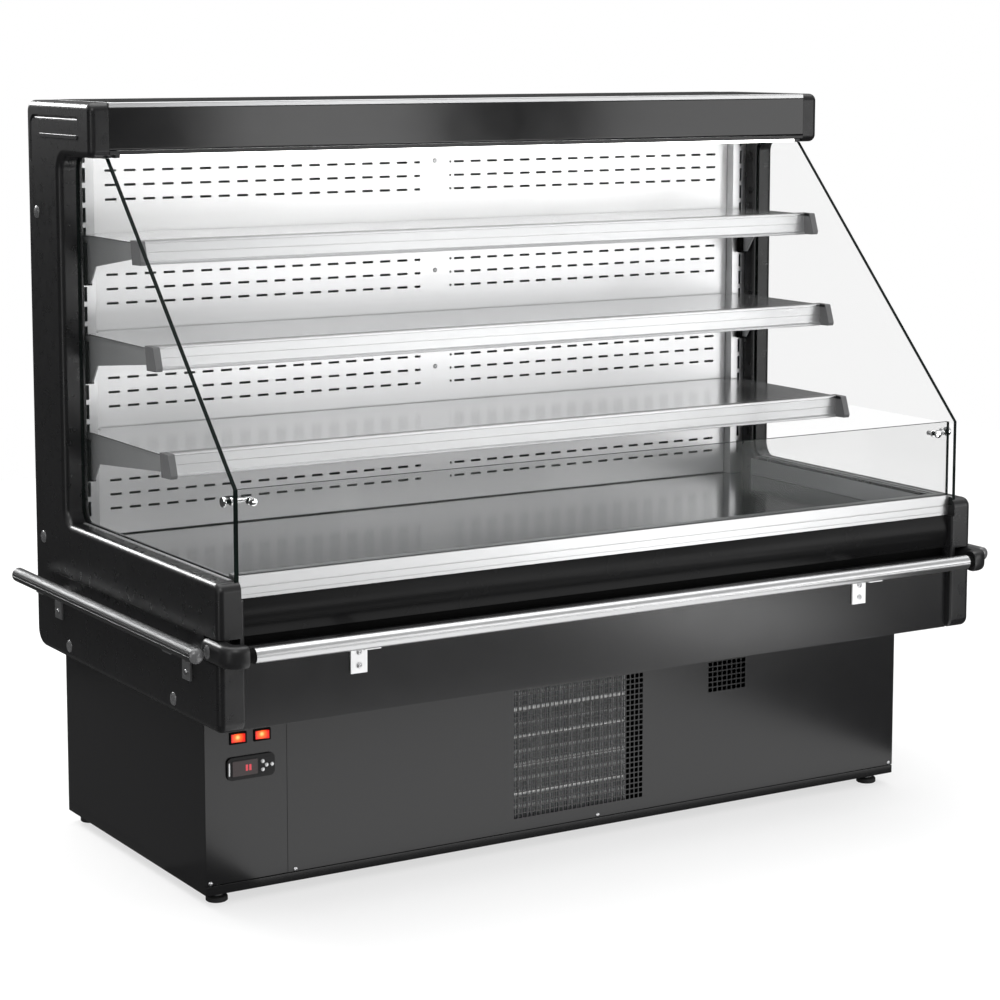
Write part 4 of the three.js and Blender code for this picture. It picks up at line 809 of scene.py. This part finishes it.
# Outlines as (radius, distance outwards); the knob's radii are shares of its own
KNOB = [(0, 0), (0.72, 0), (0.95, 0.8), (1, 2), (1, 4.2), (0.9, 5.4), (0.6, 6), (0, 6)]
COLLAR = [(0, 0), (5.4, 0), (5.8, 0.6), (5.8, 2.6), (5.2, 3.2), (0, 3.2)]
SIDE_KNOB_R, FRONT_KNOB_R, PIN_R = 7.5, 6, 3


def stud(end, side):
    """Two pins that cross behind the corner of the glass, with knobs outside and collars inside."""
    half = GLASS_T / 2 + GAP
    outside, knob_x = GLASS_X + half, side * FRONT_KNOB_X
    shape = Shape()
    for axis, centre, radius, way in (
            ("x", (side * outside, STUD_Y, STUD_Z), SIDE_KNOB_R, side),
            ("y", (knob_x, FRONT_GLASS_Y - GAP, STUD_Z), FRONT_KNOB_R, -1)):
        shape.lathe(axis, centre, [(radius * r, a) for r, a in KNOB], 40, way=way)
    shape.lathe("x", (0, STUD_Y, STUD_Z), rod(PIN_R, FRONT_KNOB_X - 5, outside + 1), way=side)
    shape.lathe("y", (knob_x, 0, STUD_Z), rod(PIN_R, FRONT_GLASS_Y - 1, STUD_Y + 5))
    shape.lathe("x", (side * (GLASS_X - half), STUD_Y, STUD_Z), COLLAR, way=-side)
    shape.lathe("y", (knob_x, FRONT_GLASS_Y + GLASS_T + GAP, STUD_Z), COLLAR)
    finished(f"glass_stud_{end}", shape, CHROME)


for end, side in SIDES.items():
    pane(f"side_pane_{end}", f"side_glass_{end}", GLASS, 0)
    stud(end, side)
pane("front_pane", "front_glass", FRONT_GLASS, 1)

# ---- front of the body

WIDE_GROOVE, FINE_GROOVE, PROFILE_FOOT = 485.5, 475.2, 461.5
UPPER_LOW, UPPER_BULGE, UPPER_STEPS = 411, 10, 24
PANEL_REAR = BODY_FRONT - GAP


def front_profile():
    face, top, low = PROFILE_FACE, PROFILE_TOP, PROFILE_TOP - PROFILE_H
    rear, seat = face + PROFILE_D, top - 12
    glass = (FRONT_GLASS_Y - GAP, FRONT_GLASS_Y + GLASS_T + GAP)
    section = [(face + 0.4, top), (face, top - 0.6), (face, WIDE_GROOVE + 0.9),
               (face + 0.9, WIDE_GROOVE + 0.4), (face + 0.9, WIDE_GROOVE - 0.4),
               (face, WIDE_GROOVE - 0.9), (face, FINE_GROOVE + 0.4), (face + 0.5, FINE_GROOVE),
               (face, FINE_GROOVE - 0.4), (face, low), (BODY_FRONT, low),
               (BODY_FRONT, PROFILE_FOOT), (rear, PROFILE_FOOT), (rear, top - 1), (rear - 1, top),
               (glass[1], top), (glass[1], seat), (glass[0], seat), (glass[0], top)]
    shape = Shape().prism("x", section, -PROFILE_X, PROFILE_X)
    ends = [Shape().box(both(side, BETWEEN, INNER + 6), (face - PAST, rear + PAST),
                        (PROFILE_FOOT - 0.5, low)) for side in SIDES.values()]
    made("front_profile", shape, ALU, "deck_front_profile", cut=ends, angle=25)


def across_front(name, path, material, angle):
    """A bent sheet along the front that stands for the node of its name."""
    shape = Shape().prism("x", bent(path, SHEET), -BETWEEN, BETWEEN)
    finished(name, shape, material, slot="black_paint", angle=angle)


def upper_panel():
    top, face, rear = PROFILE_TOP - PROFILE_H - GAP, NOSE + 14, BODY_FRONT - 4
    belly = []
    for k in range(UPPER_STEPS + 1):
        t = k / UPPER_STEPS
        start, middle, finish = (1 - t) ** 2, 2 * t * (1 - t), t * t
        belly.append((start * face + middle * (face - UPPER_BULGE) + finish * (face + 3),
                      start * top + middle * (top + UPPER_LIP) / 2 + finish * UPPER_LIP))
    across_front("front_upper_panel", [(PANEL_REAR, top), *belly, (rear, UPPER_LIP),
                                       (rear, UPPER_LOW), (PANEL_REAR, UPPER_LOW)],
                 PANEL_PAINT, 25)
    # The joint over the lower panel is a deep recess; the near-black strip in it is painted shade
    recess = Shape().box((0.1 - BETWEEN, BETWEEN - 0.1), (rear - 1.8, rear - 0.3),
                         (LOWER_TOP + 0.4, UPPER_LIP - 0.4))
    made("front_recess_painted_shade", recess, BOOT, slot="rubber")


def lower_panel():
    face, low, bend = LOWER_FACE, BODY_BOTTOM, 0.7
    across_front("front_lower_panel", [(PANEL_REAR, LOWER_TOP), (face, LOWER_TOP),
                                       (face, low + bend), (face + bend, low),
                                       (PANEL_REAR, low)], PAINT, 30)


front_profile()
upper_panel()
lower_panel()

# ---- bumpers

REED_POINTS = 180
PLATE_HALF, PLATE_T, PLATE_DROP, SHELF_T, SCREW_DROPS = 13, 3, 44, 3, (14, 33)
FRONT_BRACKET_X, SIDE_BRACKET_IN = 445, 98
ELBOW_X, ELBOW_Y, ELBOW_BEND = 660, -338, 16
SIDE_TUBE_X, SIDE_TUBE_IN = 695, 5.5
NECK = [(0, 606), (8.8, 606), (8.8, TUBE_END), (9.6, TUBE_END), (9.6, 640), (0, 640)]
ELBOW_CAP = [(0, 1.9), (5, 1.8), (8, 1.2), (9.6, 0), (9.6, -2), (0, -2)]
TUBE_CAP = [(0, 5.5), (4, 5.2), (7.5, 4), (10, 1.6), (11, 0), (11, -1), (0, -1)]


def reeded(reeds, width, depth):
    """The bumper's round section with fine grooves at those angles, in degrees."""
    points = []
    for k in range(REED_POINTS):
        angle = 360 * k / REED_POINTS
        near = min(abs((angle - r + 180) % 360 - 180) for r in reeds)
        radius = BUMPER_R - (depth if near < width / 2 else 0)
        points.append((radius * cos(radians(angle)), radius * sin(radians(angle))))
    return points


def bracket_spans():
    """How far up a bumper bracket's plate and its shelf reach, and where its screws are."""
    low = BUMPER_Z - BUMPER_R
    return (low - PLATE_DROP, low + 1), (low + 1 - SHELF_T, low + 1), [low - d for d in SCREW_DROPS]


def front_bumper():
    outline = [(TUBE_Y + u, BUMPER_Z + v) for u, v in reeded((180, 352), 9, 0.8)]
    shape = Shape().prism("x", outline, -TUBE_END - 4, TUBE_END + 4)
    rear = LOWER_FACE - GAP
    plate_z, shelf_z, screws = bracket_spans()
    for side in SIDES.values():
        middle = side * FRONT_BRACKET_X
        x = (middle - PLATE_HALF, middle + PLATE_HALF)
        shape.box(x, (rear - PLATE_T, rear), plate_z, 1)
        shape.box(x, (TUBE_Y, rear), shelf_z, 1)
        for z in screws:
            screw(shape, (middle, rear - PLATE_T, z), 4.2, 2.6, 2)
    finished("front_bumper", shape, [ALU, PLATE, SCREW], edge=0.25, angle=40)


def corner(end, side):
    path = [(638, ELBOW_Y), (640, ELBOW_Y)]
    path += [(ELBOW_X - ELBOW_BEND * (1 - sin(t)), ELBOW_Y + ELBOW_BEND * (1 - cos(t)))
             for t in angles(0, 90, 10)]
    path += [(ELBOW_X, y) for y in (-300, -276, -271, -267.5, -265.5)]
    radii = [12.2] + [13] * 14 + [12.6, 11.2, 8.6]
    shape = Shape().sweep([(side * x, y, BUMPER_Z) for x, y in path], radii, 48,
                          tall=1.24, square=0.62)
    shape.lathe("x", (0, TUBE_Y, BUMPER_Z), NECK, look_index=2, way=side)
    shape.lathe("x", (side * 672.8, -288, BUMPER_Z), ELBOW_CAP, look_index=1, way=side)
    finished(f"bumper_corner_{end}", shape, [ELBOW, CAP_BLACK, BOOT], slot="black_plastic",
             angle=40)


def side_bumper(end, side):
    x, front, back = side * SIDE_TUBE_X, NOSE + SIDE_TUBE_IN, BACK - SIDE_TUBE_IN
    outline = [(BUMPER_Z + v, x + u) for u, v in reeded((0, 22, 158, 180), 5, 0.6)]
    shape = Shape().prism("y", outline, front, back)
    for y, way in ((front, -1), (back, 1)):
        shape.lathe("y", (x, y, BUMPER_Z), TUBE_CAP, 36, 2, way)
    wall = OUTER + GAP
    plate_z, shelf_z, screws = bracket_spans()
    for middle in (NOSE + SIDE_BRACKET_IN, BACK - SIDE_BRACKET_IN):
        y = (middle - PLATE_HALF, middle + PLATE_HALF)
        shape.box(both(side, wall, wall + PLATE_T), y, plate_z, 3)
        shape.box(both(side, wall, OUTER + 33), y, shelf_z, 3)
        for z in screws:
            screw(shape, (side * (wall + PLATE_T), middle, z), 4, 2.4, 1, "x", side)
    finished(f"side_bumper_{end}", shape, [SHADED_TUBE_GREY, SCREW, CAP_BLACK, ALU_GREY],
             slot="dark_paint", edge=0.25, angle=40)


front_bumper()
for end, side in SIDES.items():
    corner(end, side)
    side_bumper(end, side)

# ---- plinth

GRILLE_X, GRILLE_Z, GRILLE_N = (-112, 123), (52, 250), (29, 24)
VENT_X, VENT_Z, VENT_N = (248, 320), (202, 250), (8, 6)
PLINTH_Z = (32.4, 289.7)  # a clear dark joint is left over the tray's lip
GRILLE_BAR, GRILLE_CORNER = 1.7, 0.1


def grid(span, count):
    """Spans of the holes across a punched field."""
    pitch = (span[1] - span[0] + GRILLE_BAR) / count
    width = pitch - GRILLE_BAR
    return openings([span[0] + width / 2 + pitch * k for k in range(count)], width)


def grille_panel():
    y, (low, high) = (BASE_FRONT, BASE_FRONT + SHEET), PLINTH_Z
    shape = Shape()
    for x, z, count in ((GRILLE_X, GRILLE_Z, GRILLE_N), (VENT_X, VENT_Z, VENT_N)):
        punched(shape, x, z, grid(x, count[0]), grid(z, count[1]), y, GRILLE_CORNER)
    # Plain sheet beside the two fields, then under and over each
    for x in ((SEAM_X + 0.6, GRILLE_X[0]), (GRILLE_X[1], VENT_X[0]), (VENT_X[1], BASE_X)):
        shape.box(x, y, PLINTH_Z)
    for x, z in ((GRILLE_X, GRILLE_Z), (VENT_X, VENT_Z)):
        shape.box(x, y, (low, z[0]))
        shape.box(x, y, (z[1], high))
    made("grille_panel_punched", shape, PAINT, "grille_panel", angle=30)


grille_panel()
refined("plinth_casing", PAINT, edge=0.4)
refined("plinth_tray", PAINT, edge=0.4)


def control_panel():
    shape = cad_shape("control_panel")
    # The rockers' frames stand proud of the face and are black plastic
    repaint(shape, 1, lambda points: min(p[1] for p in points) < BASE_FRONT - 1)
    joint = Shape().box((-630, SEAM_X + 5), (BASE_FRONT - PAST, BASE_FRONT + 1.7),
                        (30, PLINTH_Z[0]))
    finished("control_panel", shape, [PAINT, BOOT], cut=[joint], edge=0.4)


control_panel()

plinth_screws = Shape()
for x in (-618, -483, 40, 617):
    screw(plinth_screws, (x, BASE_FRONT, 35.5), 3.6, 2)
made("plinth_screws", plinth_screws, SCREW, slot="chrome")

PAD = [(0, 0), (14.5, 0), (16, 1.2), (16, 6), (15.2, 7.6), (13, 9), (6, 9), (0, 9)]
NUT_R, NUT_Z = 9.6, (9, 17.7)
THREAD_LOW, THREAD_TURNS = 17, 12


def foot(name, x, y):
    shape = Shape().lathe("z", (x, y, 0), PAD, 40)
    hexagon = [(x + NUT_R * cos(t), y + NUT_R * sin(t)) for t in angles(0, 300, 5)]
    shape.prism("z", hexagon, *NUT_Z, 1)
    thread = [(0, THREAD_LOW)]
    for z in range(THREAD_LOW, THREAD_LOW + THREAD_TURNS):
        thread += [(5, z + 0.2), (4.5, z + 0.6)]
    thread += [(4.6, 29.2), (0, 29.5)]
    shape.lathe("z", (x, y, 0), thread, 24, 1)
    finished(f"foot_{name}", shape, [RUBBER, SCREW], f"levelling_foot_{name}")


for row, y in (("front", FOOT_FRONT), ("rear", FOOT_REAR)):
    for end, side in SIDES.items():
        foot(f"{row}_{end}", side * FOOT_X, y)

# ---- controls

CONTROLLER_T, KEY_OUT = 4, 1.2        # how far they stand out
KEYS = {"key_up": (-535.5, 204), "key_down": (-535.5, 192), "key_set": (-529.5, 198),
        "key_power": (-521, 198)}
KEY_PROFILE = [(0, 0), (1.8, 0.1), (2.6, 0.45), (3, 1), (3, 2.7), (0, 2.7)]
GLOW_EDGE, GLOW_MIDDLE, GLOW_HEART = (0.40, 0.006, 0.002), (1, 0.12, 0.006), (1, 0.75, 0.22)


def rocker(node, body, x):
    lamp_at = (x - 1, BASE_FRONT - 3, ROCKER_Z + 1)
    glow = glowing(f"{node}_glow", GLOW_EDGE, GLOW_MIDDLE, GLOW_HEART, lamp_at, 9, 1.4)
    made(f"{node}_lit", cad_shape(node), glow, node, body, slot="lit_orange", edge=0.5, segments=3)


rocker("light_rocker", "light_switch", CONTROLLER_X - ROCKER_PITCH / 2)
rocker("defrost_rocker", "defrost_switch", CONTROLLER_X + ROCKER_PITCH / 2)


def controller():
    wall = BASE_FRONT - GAP
    face = wall - CONTROLLER_T
    x0, z0 = CONTROLLER_X, CONTROLLER_Z
    shape = Shape()

    def plate(x, half, radius, front, back, look_index):
        corners = oblong(x, (-half, half), radius)
        outline = [(z0 + v, x0 + u) for u, v in rounded(corners, steps=8)]
        shape.prism("y", outline, face + front, face + back, look_index)

    plate((-37.5, 37.5), 16.5, 7.5, 0.8, CONTROLLER_T, 0)
    # Raised rim round the glossy window, the key field beside it, and a silver bar near the left
    # end that is a painted highlight of the bezel's rounded end
    plate((-31, 11.5), 12.5, 2.5, 0.35, 1.2, 0)
    plate((-29.5, 10), 11, 1.5, 0.1, 0.9, 1)
    plate((12.5, 36), 12, 5, 0.5, 1.2, 0)
    # Silver bar: painted highlight on the bezel's rounded left end
    plate((-35.6, -33.4), 9.5, 1, 0.3, 1.2, 3)
    shape.box((x0 - 35.5, x0 + 35.5), (wall - 0.5, BASE_FRONT + 46), (z0 - 14.5, z0 + 14.5), 2)
    finished("controller", shape, [BEZEL, WINDOW, PLASTIC, SILVER], slot="black_plastic", edge=0.3,
             angle=30)
    # Two lit bars in the display's window
    light = Shape()
    for x in (x0 - 9, x0 - 3.6):
        light.box((x, x + 3.6), (face, face + 0.5), (z0 - 4.5, z0 + 4.5))
    made("controller_display", light, DIGIT, slot="lit_orange", edge=0.3)
    for name, (x, z) in KEYS.items():
        key = Shape().lathe("y", (x, face - KEY_OUT, z), KEY_PROFILE)
        made(f"{name}_cap", key, SILVER, name, f"{name}_body")


controller()

# ---- condensing unit

COIL_X, COIL_Y, COIL_Z = (-119, 95), (-164.5, -120.5), (46, 254)
COIL_PLATE, COIL_FOOT, FIN_HALF, FIN_COUNT = 2, 19.8, 0.4, 62
COIL_TUBE_R, COIL_ROWS, COIL_ROW_PITCH, COIL_BEND_OUT = 4.4, 9, 21.8, 6


def condenser():
    """Finned block between two end plates; tubes run through it and turn back at its ends."""
    (left, right), (front, back), (low, top) = COIL_X, COIL_Y, COIL_Z
    shape = Shape()
    for x in (left, right - COIL_PLATE):
        shape.box((x, x + COIL_PLATE), COIL_Y, (COIL_FOOT, top))
    pitch = (right - left - 6) / FIN_COUNT
    for k in range(FIN_COUNT):
        x = left + 3 + pitch * (k + 0.5)
        shape.box((x - FIN_HALF, x + FIN_HALF), (front + 1, back - 4), (low + 2, top - 2))
    rows = [low + 20 + COIL_ROW_PITCH * k for k in range(COIL_ROWS)]
    tube = rod(COIL_TUBE_R, left + 0.5, right - 0.5)
    for i, z in enumerate(rows):
        for y in (front + (5.6 if i % 2 else 7.4), back - 14):
            shape.lathe("x", (0, y, z), tube, 20, 1)
    for below, above in zip(rows[:-1:2], rows[1::2]):
        middle, half = (below + above) / 2, (above - below) / 2
        for side, x in ((-1, left), (1, right)):
            bend = [(x + side * COIL_BEND_OUT * cos(t), middle + half * sin(t))
                    for t in angles(-90, 90, 10)]
            path = [(x - side, middle - half), *bend, (x - side, middle + half)]
            shape.sweep([(u, front + 22, v) for u, v in path], [4.2] * len(path), 16, 1)
    made("condenser_coil_finned", shape, [FINS, COPPER], "condenser_coil")


condenser()
refined("condenser_fan_shroud", PAINT, edge=0.3)
refined("compressor", PAINT, edge=0.4, angle=50)
refined("evaporator_coil", FINS, edge=0.3)
refined("evaporator_fan_plate", STEEL, edge=0.3)
refined("condenser_fan", PLASTIC, "condenser_rotor", edge=0.3)
refined("evaporator_fan", PLASTIC, "evaporator_rotor", edge=0.3)

# ---- studio

WHITE = (1, 1, 1, 1)


def stage():
    bpy.ops.mesh.primitive_plane_add(size=7, location=(0, 0, 0))
    floor = bpy.context.object
    floor.name = "studio_floor"
    paper = look("studio_paper", (0.3, 0.3, 0.3), 0.85, vary=0.01, patch=0.4,
                 grain=(30, 0.02, 0.2), specular=0.1, Emission_Color=WHITE, Emission_Strength=0.66)
    floor.data.materials.append(paper)
    floor.visible_glossy = False


ROOM_LOW, ROOM_HIGH = 0.05, 0.75  # light of the room below the horizon and overhead


def room():
    """White to the camera and dimmer to everything else, so black surfaces stay black."""
    world = bpy.data.worlds.new("studio")
    bpy.context.scene.world = world
    world.use_nodes = True
    tree = world.node_tree
    link = tree.links.new
    dim = tree.nodes["Background"]
    put(dim, Color=WHITE)
    split = add(tree, "SeparateXYZ")
    link(add(tree, "TexCoord").outputs["Generated"], split.inputs["Vector"])
    rise = add(tree, "MapRange", "interpolation_type", "SMOOTHSTEP", From_Min=-0.05,
               From_Max=0.85, To_Min=ROOM_LOW, To_Max=ROOM_HIGH)
    link(split.outputs["Z"], rise.inputs["Value"])
    link(rise.outputs["Result"], dim.inputs["Strength"])
    choose = add(tree, "MixShader")
    link(add(tree, "LightPath").outputs["Is Camera Ray"], choose.inputs["Fac"])
    link(dim.outputs["Background"], choose.inputs[1])
    link(add(tree, "Background", Color=WHITE).outputs["Background"], choose.inputs[2])
    link(choose.outputs["Shader"], tree.nodes["World Output"].inputs["Surface"])


# Area lights in metres and watts: where each is, what it faces (None: straight up from the
# floor, as the pale floor's glow), its width and height, and its power
CARDS = {
    "front_card": ((1.44, -3.18, 0.85), (0.2, 0, 0.8), 0.66, 1.9, 9),
    "between_card": ((2.15, -3.05, 0.38), (0, 0, 0.6), 0.9, 0.8, 5.7),
    "right_card": ((3.02, -2.72, 0.85), (0.3, 0, 0.8), 1.6, 1.9, 18),
    "front_low_card": ((0.60, -3.25, 0.26), (0, 0, 0.7), 1, 0.5, 4.3),
    "far_low_card": ((1.5, -2.85, 0.012), None, 2.7, 0.9, 13),
    "rear_card": ((-1.3, 3.2, 1.98), (-0.66, 0, 0.7), 1.4, 0.58, 60),
    "rear_fill": ((-1.8, 3.2, 1.6), (-0.66, 0, 0.9), 1.8, 1.3, 2.5),
    "side_card": ((-3.2, -1.3, 0.7), (-0.66, -0.1, 0.7), 0.8, 1.8, 8),
    "low_card": ((0.10, -0.72, 0.012), None, 1.24, 1, 5.4),
    "low_card_right": ((1.13, -1.68, 0.012), None, 0.40, 0.7, 5),
    "low_card_left": ((-0.92, 0.6, 0.012), None, 0.6, 1.2, 0.1),
    "left_card": ((-2.4, -2.8, 2.6), (0, 0, 0.8), 1.6, 1.6, 33),
}


def lights():
    sun = bpy.data.lights.new("overhead", "SUN")
    sun.energy, sun.angle = 2.5, radians(70)
    linked("overhead", sun).rotation_euler = (radians(-8), radians(4), 0)
    for name, (at, aim, width, height, power) in CARDS.items():
        data = bpy.data.lights.new(name, "AREA")
        data.shape = "RECTANGLE"
        data.size, data.size_y, data.energy = width, height, power
        card = linked(name, data)
        card.location = at
        way = Vector(aim or (at[0], at[1], 1)) - Vector(at)
        card.rotation_euler = way.to_track_quat("-Z", "Y").to_euler()
        card.visible_camera = False


CAMERA_AT = (-2178, -3514, 1222)
CAMERA_YAW, CAMERA_PITCH, CAMERA_ROLL = 31.41, 7.24, 0.02
CAMERA_LENS, CAMERA_SHIFT = 96.1, -0.12


def camera():
    data = bpy.data.cameras.new("camera")
    data.sensor_fit = "HORIZONTAL"
    data.sensor_width = 36
    data.lens = CAMERA_LENS
    data.shift_y = CAMERA_SHIFT
    data.clip_start, data.clip_end = 0.05, 100
    view = linked("camera", data)
    view.location = [c * MM for c in CAMERA_AT]
    turn = Matrix.Rotation(radians(-CAMERA_YAW), 4, "Z")
    tilt = Matrix.Rotation(radians(90 - CAMERA_PITCH), 4, "X")
    roll = Matrix.Rotation(radians(CAMERA_ROLL), 4, "Z")
    view.rotation_euler = (turn @ tilt @ roll).to_euler()
    scene = bpy.context.scene
    scene.camera = view
    scene.view_settings.view_transform = "Standard"
    scene.view_settings.look = "None"


stage()
room()
lights()
camera()
